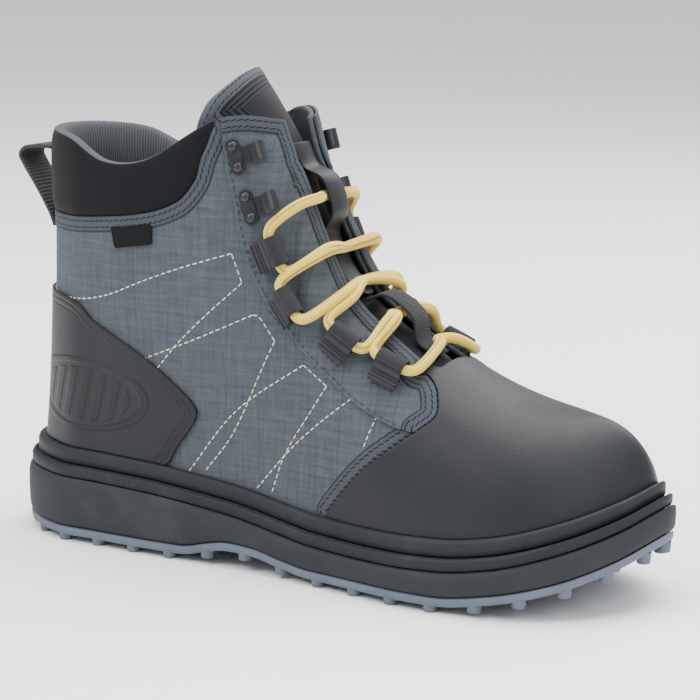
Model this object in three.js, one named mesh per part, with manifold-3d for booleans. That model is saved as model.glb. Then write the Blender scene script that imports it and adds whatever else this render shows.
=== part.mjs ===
// A laced wading boot for the right foot, standing on its studded sole.
// Millimetres. +X runs to the toe, +Y to the medial side, +Z up.
// The origin is on the floor, under the middle of the heel.
// Inside the file x is counted from the back of the heel, and the group moves it to the origin.
import * as THREE from "three";
import { mergeVertices } from "three/addons/utils/BufferGeometryUtils.js";
import Module from "manifold-3d";

const wasm = await Module();
wasm.setup();

// Main sizes
const soleLength = 317; // back of the heel to the tip of the toe
const ballWidth = 112; // widest part of the sole
const heelHeight = 30; // floor to the top of the midsole, at the heel
const shaftHeight = 183; // floor to the rim, at the back of the heel
const heelCentre = 42; // back of the heel to the stud under its middle
const toeShift = 5; // the tip of the toe lies this far to the medial side
const throatShift = 3.4; // the throat's middle lies this far to the lateral side
const gap = 0.3; // between pieces that touch

// Sole
const studHeight = 3;
const largeStud = 13; // diameters at the plate
const smallStud = 6.4;
const studPitch = 33; // between large studs
const edgeStudPitch = 19.6;
const edgeStudInset = 4.6;
const plateThickness = 3.8;
const plateInset = 1;
const weltThickness = 5;
const weltInset = 1.8;
const randHeight = 7;
const randInset = 4.8; // edge of the sole to the rand's face
const upperInset = 8.6; // edge of the sole to the outside of the upper
const insoleThickness = 4;

// Upper
const wall = 2.2;
const vampThickness = 1.2;
const counterThickness = 1.5;
const stayThickness = 1.2;
const throatEnd = 219; // back of the heel to the front end of the throat
const throatFrontHalf = 17.5; // half the width of the throat there
const collarOut = 2; // how far the pad swells outwards and inwards
const collarIn = 7.5;

// Lacing
const laceDiameter = 4.6;
const webbing = 1.2; // thickness of the loops' webbing
const loopWidth = 13;
const hookWidth = 8;
const tongueThickness = 6.5;
const tabThickness = 0.9;
const pullWidth = 18;
const stripHalf = 6.5;

// Steps round the boot and up its side
const ribs = 42;
const steps = 7;

// Stations from heel to toe, with the sole's outline and the upper's top line.
// at is a share of soleLength, lateral, medial and topHalf are shares of ballWidth,
// topX of soleLength and topZ of shaftHeight.
const stations = [
  { at: 0, lateral: 0, medial: 0, topX: 0.053, topHalf: 0, topZ: 1.008 },
  { at: 0.03, lateral: 0.205, medial: 0.2, topX: 0.081, topHalf: 0.179, topZ: 1.005 },
  { at: 0.115, lateral: 0.355, medial: 0.345, topX: 0.136, topHalf: 0.277, topZ: 0.992 },
  { at: 0.18, lateral: 0.37, medial: 0.352, topX: 0.201, topHalf: 0.321, topZ: 0.948 },
  { at: 0.26, lateral: 0.38, medial: 0.355, topX: 0.27, topHalf: 0.33, topZ: 0.956 },
  { at: 0.41, lateral: 0.385, medial: 0.32, topX: 0.392, topHalf: 0.28, topZ: 1.068 },
  { at: 0.49, lateral: 0.405, medial: 0.335, topX: 0.44, topHalf: 0.16, topZ: 1.062 },
  { at: 0.55, lateral: 0.43, medial: 0.36, topX: 0.458, topHalf: 0, topZ: 1.03 },
  { at: 0.62, lateral: 0.465, medial: 0.405, topX: 0.499, topHalf: 0, topZ: 0.85 },
  { at: 0.7, lateral: 0.502, medial: 0.455, topX: 0.541, topHalf: 0, topZ: 0.706 },
  { at: 0.77, lateral: 0.5, medial: 0.475, topX: 0.616, topHalf: 0, topZ: 0.605 },
  { at: 0.84, lateral: 0.475, medial: 0.47, topX: 0.708, topHalf: 0, topZ: 0.5 },
  { at: 0.9, lateral: 0.4, medial: 0.41, topX: 0.783, topHalf: 0, topZ: 0.447 },
  { at: 0.955, lateral: 0.25, medial: 0.31, topX: 0.837, topHalf: 0, topZ: 0.425 },
  { at: 1, lateral: 0, medial: 0, topX: 0.877, topHalf: 0, topZ: 0.417 },
];

// The ribs of the upper at the same stations. A rib starts at the sole's edge, swells outwards by
// bulge while it climbs by rise, and reaches its top from a handle that leans forwards, spreads
// sideways and drops below it. Shares of ballWidth, except rise and drop of shaftHeight and lean
// of soleLength.
const ribShapes = [
  { bulge: -0.047, rise: 0.164, lean: 0.003, spread: 0, drop: 0.352 },
  { bulge: -0.042, rise: 0.17, lean: 0.004, spread: 0.01, drop: 0.35 },
  { bulge: -0.018, rise: 0.2, lean: 0.004, spread: 0.02, drop: 0.34 },
  { bulge: -0.005, rise: 0.22, lean: 0, spread: 0.01, drop: 0.31 },
  { bulge: 0, rise: 0.23, lean: 0, spread: 0.01, drop: 0.3 },
  { bulge: 0.005, rise: 0.2, lean: 0.005, spread: 0.03, drop: 0.33 },
  { bulge: 0.005, rise: 0.16, lean: 0.022, spread: 0.14, drop: 0.25 },
  { bulge: 0.003, rise: 0.14, lean: 0.016, spread: 0.27, drop: 0.1 },
  { bulge: 0.003, rise: 0.13, lean: 0.01, spread: 0.31, drop: 0.07 },
  { bulge: 0.003, rise: 0.13, lean: 0.012, spread: 0.31, drop: 0.06 },
  { bulge: 0.006, rise: 0.14, lean: 0.014, spread: 0.31, drop: 0.045 },
  { bulge: 0.009, rise: 0.16, lean: 0.016, spread: 0.3, drop: 0.02 },
  { bulge: 0.012, rise: 0.155, lean: 0.019, spread: 0.26, drop: 0.005 },
  { bulge: 0.016, rise: 0.14, lean: 0.035, spread: 0.19, drop: 0 },
  { bulge: 0.02, rise: 0.087, lean: 0.075, spread: 0, drop: 0 },
];

// The sole from the side. at is a share of soleLength, tread and top are shares of heelHeight.
const profile = [
  { at: 0, tread: 0.075, top: 1 },
  { at: 0.05, tread: 0.015, top: 0.996 },
  { at: 0.1, tread: 0, top: 0.99 },
  { at: 0.18, tread: 0, top: 0.975 },
  { at: 0.27, tread: 0, top: 0.94 },
  { at: 0.335, tread: 0.005, top: 0.88 },
  { at: 0.37, tread: 0.09, top: 0.84 },
  { at: 0.41, tread: 0.165, top: 0.793 },
  { at: 0.45, tread: 0.15, top: 0.73 },
  { at: 0.5, tread: 0.06, top: 0.64 },
  { at: 0.55, tread: 0, top: 0.57 },
  { at: 0.64, tread: 0, top: 0.542 },
  { at: 0.75, tread: 0, top: 0.573 },
  { at: 0.82, tread: 0.1, top: 0.677 },
  { at: 0.9, tread: 0.3, top: 0.907 },
  { at: 0.96, tread: 0.56, top: 1.17 },
  { at: 1, tread: 0.85, top: 1.46 },
];

// Lower edge of the collar, from the side: shares of soleLength and shaftHeight
const collarLine = [
  { at: 0, height: 0.809 },
  { at: 0.123, height: 0.809 },
  { at: 0.211, height: 0.82 },
  { at: 0.274, height: 0.836 },
  { at: 0.327, height: 0.869 },
  { at: 0.355, height: 0.923 },
  { at: 0.365, height: 0.984 },
  { at: 0.374, height: 1.016 },
  { at: 0.3815, height: 1.06 },
];

// Seams, from the side: shares of soleLength and shaftHeight
const counterSeam = [
  [-0.063, 0.617], [0.126, 0.607], [0.18, 0.557], [0.233, 0.514], [0.28, 0.47], [0.321, 0.421],
  [0.348, 0.38], [0.351, 0.355], [0.34, 0.322], [0.318, 0.273], [0.296, 0.208],
];
const vampSeam = [
  [0.553, 0.131], [0.572, 0.18], [0.603, 0.245], [0.635, 0.301], [0.668, 0.347], [0.698, 0.387],
  [0.717, 0.42], [0.709, 0.458], [0.697, 0.481], [0.685, 0.497], [0.67, 0.52], [0.67, 0.71],
];
const staySeam = [
  [0.387, 1.1], [0.396, 0.962], [0.406, 0.891], [0.421, 0.776], [0.44, 0.699], [0.472, 0.617],
  [0.509, 0.552], [0.557, 0.492], [0.61, 0.432], [0.664, 0.393], [0.72, 0.38],
];

// The tongue's outer face along its middle, from the vamp to the top. x is a share of soleLength,
// z of shaftHeight, half (its width) and sag (how far its edges lie back) of ballWidth.
const tonguePath = [
  { x: 0.7445, z: 0.456, half: 0.19, sag: 0.07, thick: 0.5 },
  { x: 0.7, z: 0.48, half: 0.205, sag: 0.075, thick: 0.7 },
  { x: 0.655, z: 0.5355, half: 0.205, sag: 0.08, thick: 0.85 },
  { x: 0.6063, z: 0.5825, half: 0.205, sag: 0.08, thick: 0.9 },
  { x: 0.5653, z: 0.6317, half: 0.205, sag: 0.08, thick: 0.9 },
  { x: 0.528, z: 0.688, half: 0.205, sag: 0.08, thick: 0.9 },
  { x: 0.5006, z: 0.763, half: 0.205, sag: 0.085, thick: 0.95 },
  { x: 0.4833, z: 0.838, half: 0.205, sag: 0.1, thick: 1 },
  { x: 0.4662, z: 0.9225, half: 0.21, sag: 0.12, thick: 1.1 },
  { x: 0.444, z: 1.009, half: 0.22, sag: 0.15, thick: 1.3 },
  { x: 0.414, z: 1.088, half: 0.24, sag: 0.19, thick: 1.5 },
  { x: 0.382, z: 1.15, half: 0.29, sag: 0.18, thick: 1.5 },
  { x: 0.351, z: 1.204, half: 0.32, sag: 0.13, thick: 1 },
];

// Places along the throat's sides, as seen from the side: shares of soleLength and shaftHeight
const loopPlaces = [[0.642, 0.511], [0.571, 0.5655], [0.5095, 0.646], [0.4685, 0.761]];
const hookPlaces = [[0.446, 0.87], [0.4245, 0.985]];

const finishes = {
  rubber: { color: 0x5d6675, roughness: 0.8 },
  foam: { color: 0x3c3e40, roughness: 0.9 },
  edging: { color: 0x2c2d30, roughness: 0.7 },
  fabric: { color: 0x5f6b74, roughness: 0.9 },
  coated: { color: 0x3a3d42, roughness: 0.6 },
  padding: { color: 0x2a2c30, roughness: 0.85 },
  tape: { color: 0x5b5a60, roughness: 0.85 },
  metal: { color: 0x2d2e31, roughness: 0.4, metalness: 0.8 },
  cord: { color: 0xe3cf7d, roughness: 0.8 },
  lining: { color: 0x77797d, roughness: 0.95 },
};

const boot = new THREE.Group();
boot.position.x = -heelCentre;

function piece(name, geometry, finish) {
  const mesh = new THREE.Mesh(geometry, new THREE.MeshStandardMaterial(finishes[finish]));
  mesh.name = name;
  boot.add(mesh);
  return mesh;
}

// The value of a table's column between its rows, smooth and without overshoot
function smooth(rows, key, at) {
  const last = rows.length - 1;
  if (at <= rows[0].at) return rows[0][key];
  if (at >= rows[last].at) return rows[last][key];
  const k = rows.findIndex((row) => row.at > at) - 1;
  const slope = (i) => (rows[i + 1][key] - rows[i][key]) / (rows[i + 1].at - rows[i].at);
  const bend = (i) => {
    if (i === 0) return slope(0);
    if (i === last) return slope(last - 1);
    const before = slope(i - 1);
    const after = slope(i);
    return before * after <= 0 ? 0 : (2 * before * after) / (before + after);
  };
  const width = rows[k + 1].at - rows[k].at;
  const s = (at - rows[k].at) / width;
  const start = rows[k][key] * (1 + 2 * s) + bend(k) * width * s;
  const end = rows[k + 1][key] * (3 - 2 * s) + bend(k + 1) * width * (s - 1);
  return start * (1 - s) ** 2 + end * s ** 2;
}

const tread = (x) => heelHeight * smooth(profile, "tread", x / soleLength);
const soleTop = (x) => heelHeight * smooth(profile, "top", x / soleLength);
const plateBottom = (x) => tread(x) + studHeight;
const midsoleBottom = (x) => plateBottom(x) + plateThickness + gap;
const onSole = (x) => soleTop(x) + 1.5 * gap;
const weltTop = (x) => onSole(x) + weltThickness;
const randTop = (x) => weltTop(x) + gap + randHeight;
const collarEdge = (x) => shaftHeight * smooth(collarLine, "height", x / soleLength);

// A closed curve through a table's rows: from the heel along the lateral side to the toe, and back
function around(rows, pick) {
  const lateral = rows.map((row) => pick(row, -1));
  const medial = rows.slice(1, -1).reverse().map((row) => pick(row, 1));
  return new THREE.CatmullRomCurve3([...lateral, ...medial], true, "centripetal");
}

const plan = around(stations, (row, side) => {
  const y = row.at === 1 ? toeShift : side * ballWidth * (side < 0 ? row.lateral : row.medial);
  return new THREE.Vector3(row.at * soleLength, y, 0);
});
const tops = around(stations, ({ topX, topHalf, topZ }, side) => (
  new THREE.Vector3(topX * soleLength, side * topHalf * ballWidth, topZ * shaftHeight)
));
const swells = around(ribShapes, ({ bulge, rise }) => (
  new THREE.Vector3(bulge * ballWidth, rise * shaftHeight, 0)
));
const handles = around(ribShapes, ({ lean, spread, drop }, side) => (
  new THREE.Vector3(lean * soleLength, side * spread * ballWidth, -drop * shaftHeight)
));

const wrapped = (t) => ((t % 1) + 1) % 1;

// A point of the plan's outline, moved inwards
function edge(t, inset) {
  const nudge = 0.0005;
  const along = plan.getPoint(wrapped(t + nudge)).sub(plan.getPoint(wrapped(t - nudge))).normalize();
  const point = plan.getPoint(wrapped(t));
  return new THREE.Vector3(point.x - along.y * inset, point.y + along.x * inset, 0);
}

// How far the middle of the upper lies to the medial side
function ridgeY(x) {
  const share = x / soleLength;
  return toeShift * share ** 3 - throatShift * (4 * share * (1 - share)) ** 2;
}

// The four points that a rib of the upper hangs on
const knownRibs = new Map();
function ribPoints(t) {
  const key = wrapped(t);
  if (knownRibs.has(key)) return knownRibs.get(key);
  const foot = edge(key, upperInset);
  const outside = edge(key, 0).sub(foot).normalize();
  foot.z = soleTop(foot.x) + gap;
  const swell = swells.getPoint(key);
  const low = foot.clone().addScaledVector(outside, swell.x);
  low.z += swell.y;
  const top = tops.getPoint(key);
  const half = key < 0.5 ? Math.min(top.y, 0) : Math.max(top.y, 0);
  top.y = half + ridgeY(top.x);
  const high = handles.getPoint(key).add(top);
  const points = [foot, low, high, top];
  knownRibs.set(key, points);
  return points;
}

function onRib(t, v) {
  const [a, b, c, d] = ribPoints(t);
  const u = 1 - v;
  return new THREE.Vector3()
    .addScaledVector(a, u * u * u)
    .addScaledVector(b, 3 * u * u * v)
    .addScaledVector(c, 3 * u * v * v)
    .addScaledVector(d, v * v * v);
}

function outwards(t, v) {
  const across = onRib(t + 0.001, v).sub(onRib(t - 0.001, v));
  const upwards = onRib(t, Math.min(v + 0.01, 1)).sub(onRib(t, Math.max(v - 0.01, 0)));
  return across.cross(upwards).normalize();
}

const onForm = (t, v, offset) => onRib(t, v).addScaledVector(outwards(t, v), offset);

// The share of a rib's length at which a rising test turns positive
function climb(t, test) {
  let low = 0;
  let high = 1;
  for (let k = 0; k < 24; k++) {
    const middle = (low + high) / 2;
    if (test(onRib(t, middle)) < 0) low = middle;
    else high = middle;
  }
  return (low + high) / 2;
}

// The place on one side of the upper that is seen at x and z from the side
function seenAt(x, z, side) {
  const place = (s) => (side < 0 ? s : 1 - s);
  const miss = (s, v) => {
    const point = onRib(place(s), v);
    return (point.x - x) ** 2 + (point.z - z) ** 2;
  };
  let best = { s: 0, v: 0, far: Infinity };
  for (let s = 0.01; s < 0.5; s += 0.01) {
    for (let v = 0.02; v < 1; v += 0.03) {
      const far = miss(s, v);
      if (far < best.far) best = { s, v, far };
    }
  }
  for (let reach = 0.01; reach > 0.00002; reach *= 0.6) {
    for (const [ds, dv] of [[reach, 0], [-reach, 0], [0, 2 * reach], [0, -2 * reach]]) {
      const s = best.s + ds;
      const v = Math.min(best.v + dv, 1);
      const far = miss(s, v);
      if (far < best.far) best = { s, v, far };
    }
  }
  return { t: place(best.s), v: best.v };
}

function meshOf(points, faces) {
  const geometry = new THREE.BufferGeometry();
  const numbers = points.flatMap((p) => p.toArray());
  geometry.setAttribute("position", new THREE.Float32BufferAttribute(numbers, 3));
  geometry.setIndex(faces);
  return geometry;
}

// Rings of equal length, one above the other, closed at both ends by strips from side to side
function stack(rings) {
  const n = rings[0].length;
  const top = (rings.length - 1) * n;
  const faces = [];
  for (let k = 0; k < rings.length - 1; k++) {
    for (let i = 0; i < n; i++) {
      const next = (i + 1) % n;
      const [a, b, c, d] = [k * n + i, k * n + next, k * n + n + next, k * n + n + i];
      faces.push(a, b, c, a, c, d);
    }
  }
  for (let i = 0; i < n / 2; i++) {
    const far = (n - i) % n;
    const [a, b, c, d] = [i, i + 1, far - 1 < 0 ? n - 1 : far - 1, far];
    if (b !== c) faces.push(a, c, b, top + a, top + b, top + c);
    if (a !== d) faces.push(a, d, c, top + a, top + c, top + d);
  }
  return meshOf(rings.flat(), faces);
}

// Closed sections one after another, which run back to the first or end in flat caps
function sweep(sections, closed) {
  const n = sections[0].length;
  const count = sections.length;
  const faces = [];
  for (let k = 0; k < (closed ? count : count - 1); k++) {
    for (let i = 0; i < n; i++) {
      const next = (i + 1) % n;
      const after = (k + 1) % count;
      const [a, b, c, d] = [k * n + i, after * n + i, after * n + next, k * n + next];
      faces.push(a, b, c, a, c, d);
    }
  }
  const end = (count - 1) * n;
  for (let i = 1; i < n - 1 && !closed; i++) {
    faces.push(0, i, i + 1, end, end + i + 1, end + i);
  }
  return meshOf(sections.flat(), faces);
}

function solid(geometry) {
  const bare = geometry.clone();
  bare.deleteAttribute("normal");
  bare.deleteAttribute("uv");
  const merged = mergeVertices(bare, 1e-4);
  return new wasm.Manifold(
    new wasm.Mesh({
      numProp: 3,
      vertProperties: merged.attributes.position.array,
      triVerts: new Uint32Array(merged.index.array),
    }),
  );
}

function shown(body) {
  const mesh = body.getMesh();
  const geometry = new THREE.BufferGeometry();
  geometry.setAttribute("position", new THREE.BufferAttribute(mesh.vertProperties, 3));
  geometry.setIndex(new THREE.BufferAttribute(mesh.triVerts, 1));
  return geometry;
}

// A shape drawn from the side, run through the whole width of the boot or one half of it
function sidePrism(points, from, to) {
  const shape = new THREE.Shape(points.map(([x, z]) => new THREE.Vector2(x, z)));
  const prism = new THREE.ExtrudeGeometry(shape, { depth: to - from, bevelEnabled: false });
  return solid(prism.rotateX(Math.PI / 2).translate(0, to, 0));
}

// A shape drawn from above, run from one height to another
function planPrism(points, from, to) {
  const shape = new THREE.Shape(points.map(([x, y]) => new THREE.Vector2(x, y)));
  const prism = new THREE.ExtrudeGeometry(shape, { depth: to - from, bevelEnabled: false });
  return solid(prism.translate(0, 0, from));
}

function curved(shares, count) {
  const points = shares.map(([x, z]) => new THREE.Vector2(x * soleLength, z * shaftHeight));
  return new THREE.SplineCurve(points).getPoints(count).map((p) => [p.x, p.y]);
}

// The sheet that all shells of the upper are offset from
const sheet = (() => {
  const points = [];
  const firstOnRidge = Array.from({ length: ribs / 2 }, (_, i) => i).find(
    (i) => i > 0 && Math.min(tops.getPoint(i / ribs).y, 0) > -0.001,
  );
  for (let i = 0; i < ribs; i++) {
    for (let j = 0; j <= steps; j++) points.push(onRib(i / ribs, j / steps));
  }
  const at = (i, j) => {
    const k = ((i % ribs) + ribs) % ribs;
    const mirrored = ribs - k;
    const onRidge = j === steps && k > ribs / 2 && mirrored >= firstOnRidge;
    return (onRidge ? mirrored : k) * (steps + 1) + j;
  };
  const faces = [];
  for (let i = 0; i < ribs; i++) {
    for (let j = 0; j < steps; j++) {
      const [a, b, c, d] = [at(i, j), at(i + 1, j), at(i + 1, j + 1), at(i, j + 1)];
      faces.push(a, b, c, a, c, d);
    }
  }
  const geometry = meshOf(points, faces);
  geometry.computeVertexNormals();
  const normals = geometry.getAttribute("normal");
  const directions = points.map((_, k) => new THREE.Vector3().fromBufferAttribute(normals, k));
  return { points, directions, faces, at, firstOnRidge };
})();

// A closed wall between two offsets of the sheet
function shell(inner, outer) {
  const { points, directions, faces, at, firstOnRidge } = sheet;
  const moved = (offset) => points.map((p, k) => {
    const point = p.clone().addScaledVector(directions[k], offset);
    if (k % (steps + 1) === 0) point.z = p.z;
    return point;
  });
  const n = points.length;
  const all = [...faces];
  for (let f = 0; f < faces.length; f += 3) all.push(n + faces[f], n + faces[f + 2], n + faces[f + 1]);
  for (let i = 0; i < ribs; i++) {
    const [a, b] = [at(i, 0), at(i + 1, 0)];
    all.push(a, n + a, n + b, a, n + b, b);
  }
  for (let i = -firstOnRidge; i < firstOnRidge; i++) {
    const [a, b] = [at(i, steps), at(i + 1, steps)];
    all.push(a, n + b, n + a, a, b, n + b);
  }
  return solid(meshOf([...moved(outer), ...moved(inner)], all));
}

// A ring of the sole at one inset, with its height from a function of x
function ring(inset, height) {
  return Array.from({ length: ribs }, (_, i) => {
    const point = edge(i / ribs, inset);
    point.z = height(point.x);
    return point;
  });
}

function inside(x, y, inset) {
  const line = ring(inset, () => 0);
  let within = false;
  for (let i = 0, j = line.length - 1; i < line.length; j = i++) {
    const [a, b] = [line[i], line[j]];
    if (a.y > y !== b.y > y && x < ((b.x - a.x) * (y - a.y)) / (b.y - a.y) + a.x) within = !within;
  }
  return within;
}

// Outsole: a plate with studs on a six-sided grid, and a row of small ones along the edge
function stud(x, y, diameter, sides) {
  const sunk = 1.8;
  const height = studHeight + sunk;
  const column = new THREE.CylinderGeometry(diameter / 2, 0.44 * diameter, height, sides);
  return solid(column.rotateX(Math.PI / 2).translate(x, y, tread(x) + height / 2));
}

function outsole() {
  let body = solid(stack([
    ring(plateInset + 0.6, plateBottom),
    ring(plateInset, (x) => plateBottom(x) + plateThickness),
  ]));
  const rowPitch = studPitch * Math.sin(Math.PI / 3);
  const rows = Math.ceil(ballWidth / rowPitch / 2);
  const columns = Math.ceil(soleLength / studPitch);
  for (let row = -rows; row <= rows; row++) {
    for (let column = -2; column <= columns; column++) {
      const x = heelCentre + (column + (row % 2 === 0 ? 0 : 0.5)) * studPitch;
      const y = row * rowPitch;
      const places = [
        { dx: 0, dy: 0, diameter: largeStud, sides: 7 },
        { dx: studPitch / 2, dy: rowPitch / 3, diameter: smallStud, sides: 5 },
        { dx: studPitch / 2, dy: -rowPitch / 3, diameter: smallStud, sides: 5 },
      ];
      for (const { dx, dy, diameter, sides } of places) {
        const clear = edgeStudInset + smallStud / 2 + 1.5 + diameter / 2;
        if (inside(x + dx, y + dy, clear)) body = body.add(stud(x + dx, y + dy, diameter, sides));
      }
    }
  }
  const along = Math.round(plan.getLength() / edgeStudPitch);
  for (let k = 0; k < along; k++) {
    const place = edge(plan.getUtoTmapping(k / along), edgeStudInset);
    body = body.add(stud(place.x, place.y, smallStud, 5));
  }
  return shown(body);
}

// Midsole: a foam wedge whose side swells a little between the plate and the welt
function midsole() {
  const sides = [
    { inset: 2.4, share: 0 },
    { inset: 0.3, share: 0.18 },
    { inset: 0.2, share: 0.8 },
    { inset: 2, share: 1 },
  ];
  return stack(sides.map(({ inset, share }) => ring(inset, (x) => {
    const low = midsoleBottom(x);
    return low + (soleTop(x) - low) * share;
  })));
}

// Welt: a flat ring round the foot of the upper
function welt() {
  const inner = upperInset - 2 * gap;
  const corners = [
    ring(weltInset, onSole),
    ring(weltInset + 0.8, weltTop),
    ring(inner, weltTop),
    ring(inner, onSole),
  ];
  return sweep(corners[0].map((_, i) => corners.map((corner) => corner[i])), true);
}

// Rand: an upright band above the welt, shaped to the upper on its inside
function rand() {
  const sections = Array.from({ length: ribs }, (_, i) => {
    const t = i / ribs;
    const low = climb(t, (p) => p.z - weltTop(p.x) - gap);
    const high = climb(t, (p) => p.z - randTop(p.x));
    const rounding = 1.6;
    const section = [
      edge(t, randInset), edge(t, randInset), edge(t, randInset + rounding),
      onForm(t, high, 1.5 * gap), onForm(t, low, 1.5 * gap),
    ];
    const heights = [0, randHeight - rounding, randHeight, randHeight, 0];
    section.forEach((corner, k) => {
      corner.z = weltTop(corner.x) + 1.5 * gap + heights[k];
    });
    return section;
  });
  return sweep(sections, true);
}

// Insole: a thin bed on the midsole, inside the upper
function insole() {
  const inset = upperInset + wall + 3 * gap;
  return stack([
    ring(inset, onSole),
    ring(inset, (x) => onSole(x) + 0.8 * insoleThickness),
    ring(inset + 4, (x) => onSole(x) + insoleThickness),
  ]);
}

const farSide = ballWidth; // beyond the boot's side
const aboveAll = 1.4 * shaftHeight;

// The throat, from above: shares of the way from the rim to throatEnd, with its half width
const throatStart = 0.372 * soleLength;
const throatLine = [
  [0, 30], [0.0878, 24], [0.1568, 17.5], [0.207, 13.5], [0.276, 11], [0.4015, 10.5],
  [0.5896, 12], [0.8092, 15.5],
];

// The throat: open from the rim to throatEnd, with its corners rounded at the rim
function throatCut() {
  const sides = throatLine.map(([share, half]) => (
    [throatStart + share * (throatEnd - throatStart), half]
  ));
  const rows = [...sides, [throatEnd - 4, throatFrontHalf], [throatEnd, 0.75 * throatFrontHalf]];
  const lateral = rows.map(([x, half]) => [x, ridgeY(x) - half]);
  const medial = rows.map(([x, half]) => [x, ridgeY(x) + half]).reverse();
  return planPrism([...lateral, ...medial], 0.35 * shaftHeight, aboveAll);
}

// All that lies above the collar's lower edge
function collarCut(clearance) {
  const line = [];
  const end = collarLine.at(-1).at * soleLength;
  for (let k = 0; k <= 18; k++) {
    const x = (end * k) / 18;
    line.push([x + clearance, collarEdge(x) - clearance]);
  }
  const behind = -0.1 * soleLength;
  return sidePrism([
    [behind, collarEdge(0) - clearance], ...line, [end + clearance, aboveAll], [behind, aboveAll],
  ], -farSide, farSide);
}

// All that the rand, the welt and the sole take up, for the overlays that end above them
function randCut() {
  const count = 24;
  const from = -0.1 * soleLength;
  const to = 1.1 * soleLength;
  const line = [];
  for (let k = count; k >= 0; k--) {
    const x = from + ((to - from) * k) / count;
    line.push([x, randTop(x) + gap]);
  }
  return sidePrism([[from, 0], [to, 0], ...line], -farSide, farSide);
}

function vampCut(clearance) {
  const seam = curved(vampSeam, 22).map(([x, z]) => [x - clearance, z]).reverse();
  const beyond = 1.1 * soleLength;
  return sidePrism([...seam, [beyond, seam.at(-1)[1]], [beyond, seam[0][1]]], -farSide, farSide);
}

function vamp() {
  const whole = shell(gap, gap + vampThickness).intersect(vampCut(0));
  return shown(whole.subtract(throatCut()).subtract(randCut()));
}

function heelCounter() {
  const seam = curved(counterSeam, 18).reverse();
  const region = sidePrism([...seam, [seam.at(-1)[0], seam[0][1]]], -farSide, farSide);
  return shown(shell(gap, gap + counterThickness).intersect(region).subtract(randCut()));
}

function eyestay(side) {
  const seam = curved(staySeam, 20);
  const region = sidePrism([
    ...seam, [0.79 * soleLength, seam.at(-1)[1]], [0.79 * soleLength, aboveAll], [seam[0][0], aboveAll],
  ], side < 0 ? -farSide : 0, side < 0 ? 0 : farSide);
  return shown(
    shell(gap, gap + stayThickness).intersect(region).subtract(vampCut(2 * gap)).subtract(throatCut()),
  );
}

function upper() {
  return shown(shell(-wall, 0).subtract(throatCut()).subtract(collarCut(2 * gap)));
}

// Collar: a stuffed ring between its lower edge and the rim, which ends at the eyestays
function collar() {
  const end = collarLine.at(-1).at * soleLength;
  let reach = 0;
  while (tops.getPoint(reach + 0.001).x < end - 1) reach += 0.001;
  const count = 28;
  const section = [
    [0, 0], [0.2, 0.8], [0.75, 0.9], [0.98, 0.2], [0.97, -0.7], [0.7, -1], [0.3, -0.9], [0, -0.35],
  ];
  const sections = Array.from({ length: count + 1 }, (_, k) => {
    const t = reach * (1 - (2 * k) / count) * -1;
    const start = Math.min(climb(t, (p) => p.z - collarEdge(p.x)), 0.985);
    const fullness = Math.min(1, (1 - start) * 6 + 0.12);
    return section.map(([share, swell]) => {
      const offset = (swell > 0 ? collarOut : collarIn) * swell * fullness;
      return onForm(t, start + (1 - start) * share, offset);
    });
  });
  return sweep(sections, false);
}

// The tongue's middle line and the direction away from the foot
const tongueLine = new THREE.CatmullRomCurve3(
  tonguePath.map(({ x, z }) => new THREE.Vector3(x * soleLength, 0, z * shaftHeight)),
  false,
  "centripetal",
);

function onTongue(s, y, offset) {
  const along = tongueLine.getTangent(s);
  const out = new THREE.Vector3(along.z, 0, -along.x);
  const share = y / (tongueColumn(s, "half") * ballWidth);
  const sag = tongueColumn(s, "sag") * ballWidth * share ** 2;
  const point = tongueLine.getPoint(s).addScaledVector(out, offset - sag);
  point.y = y + ridgeY(point.x);
  return point;
}

function tongueColumn(s, key) {
  const place = s * (tonguePath.length - 1);
  const k = Math.min(Math.floor(place), tonguePath.length - 2);
  return tonguePath[k][key] + (tonguePath[k + 1][key] - tonguePath[k][key]) * (place - k);
}

// The share of the tongue's line that lies at x
function tongueAt(x) {
  let low = 0;
  let high = 1;
  for (let k = 0; k < 20; k++) {
    const middle = (low + high) / 2;
    if (tongueLine.getPoint(middle).x > x * soleLength) low = middle;
    else high = middle;
  }
  return (low + high) / 2;
}

// A strip on the tongue through rows of x (a share of soleLength) and lift above the tongue
function tongueStrip(rows, half, thickness) {
  const sections = rows.map(({ x, lift }) => {
    const s = tongueAt(x);
    const low = 2.5 * gap + lift;
    const across = [-half, 0, half];
    const under = across.map((y) => onTongue(s, y, low));
    const over = across.map((y) => onTongue(s, y, low + thickness)).reverse();
    return [...under, ...over];
  });
  return sweep(sections, false);
}

function tongue() {
  const count = 15;
  const across = [-1, -0.75, -0.35, 0.35, 0.75, 1];
  const sections = Array.from({ length: count + 1 }, (_, k) => {
    const place = (share) => {
      const corner = Math.max(0, (Math.abs(share) - 0.6) / 0.4) ** 2;
      return (k / count) * (0.95 + 0.045 * share - 0.03 * corner);
    };
    const half = (share) => share * tongueColumn(place(share), "half") * ballWidth;
    const face = (share) => onTongue(place(share), half(share), 0);
    const back = (share) => {
      const depth = tongueColumn(place(share), "thick") * tongueThickness;
      return onTongue(place(share), half(share), -depth * (0.25 + 0.75 * Math.sqrt(1 - share ** 4)));
    };
    return [...across.map(back), ...across.slice().reverse().map(face)];
  });
  return sweep(sections, false);
}

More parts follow.
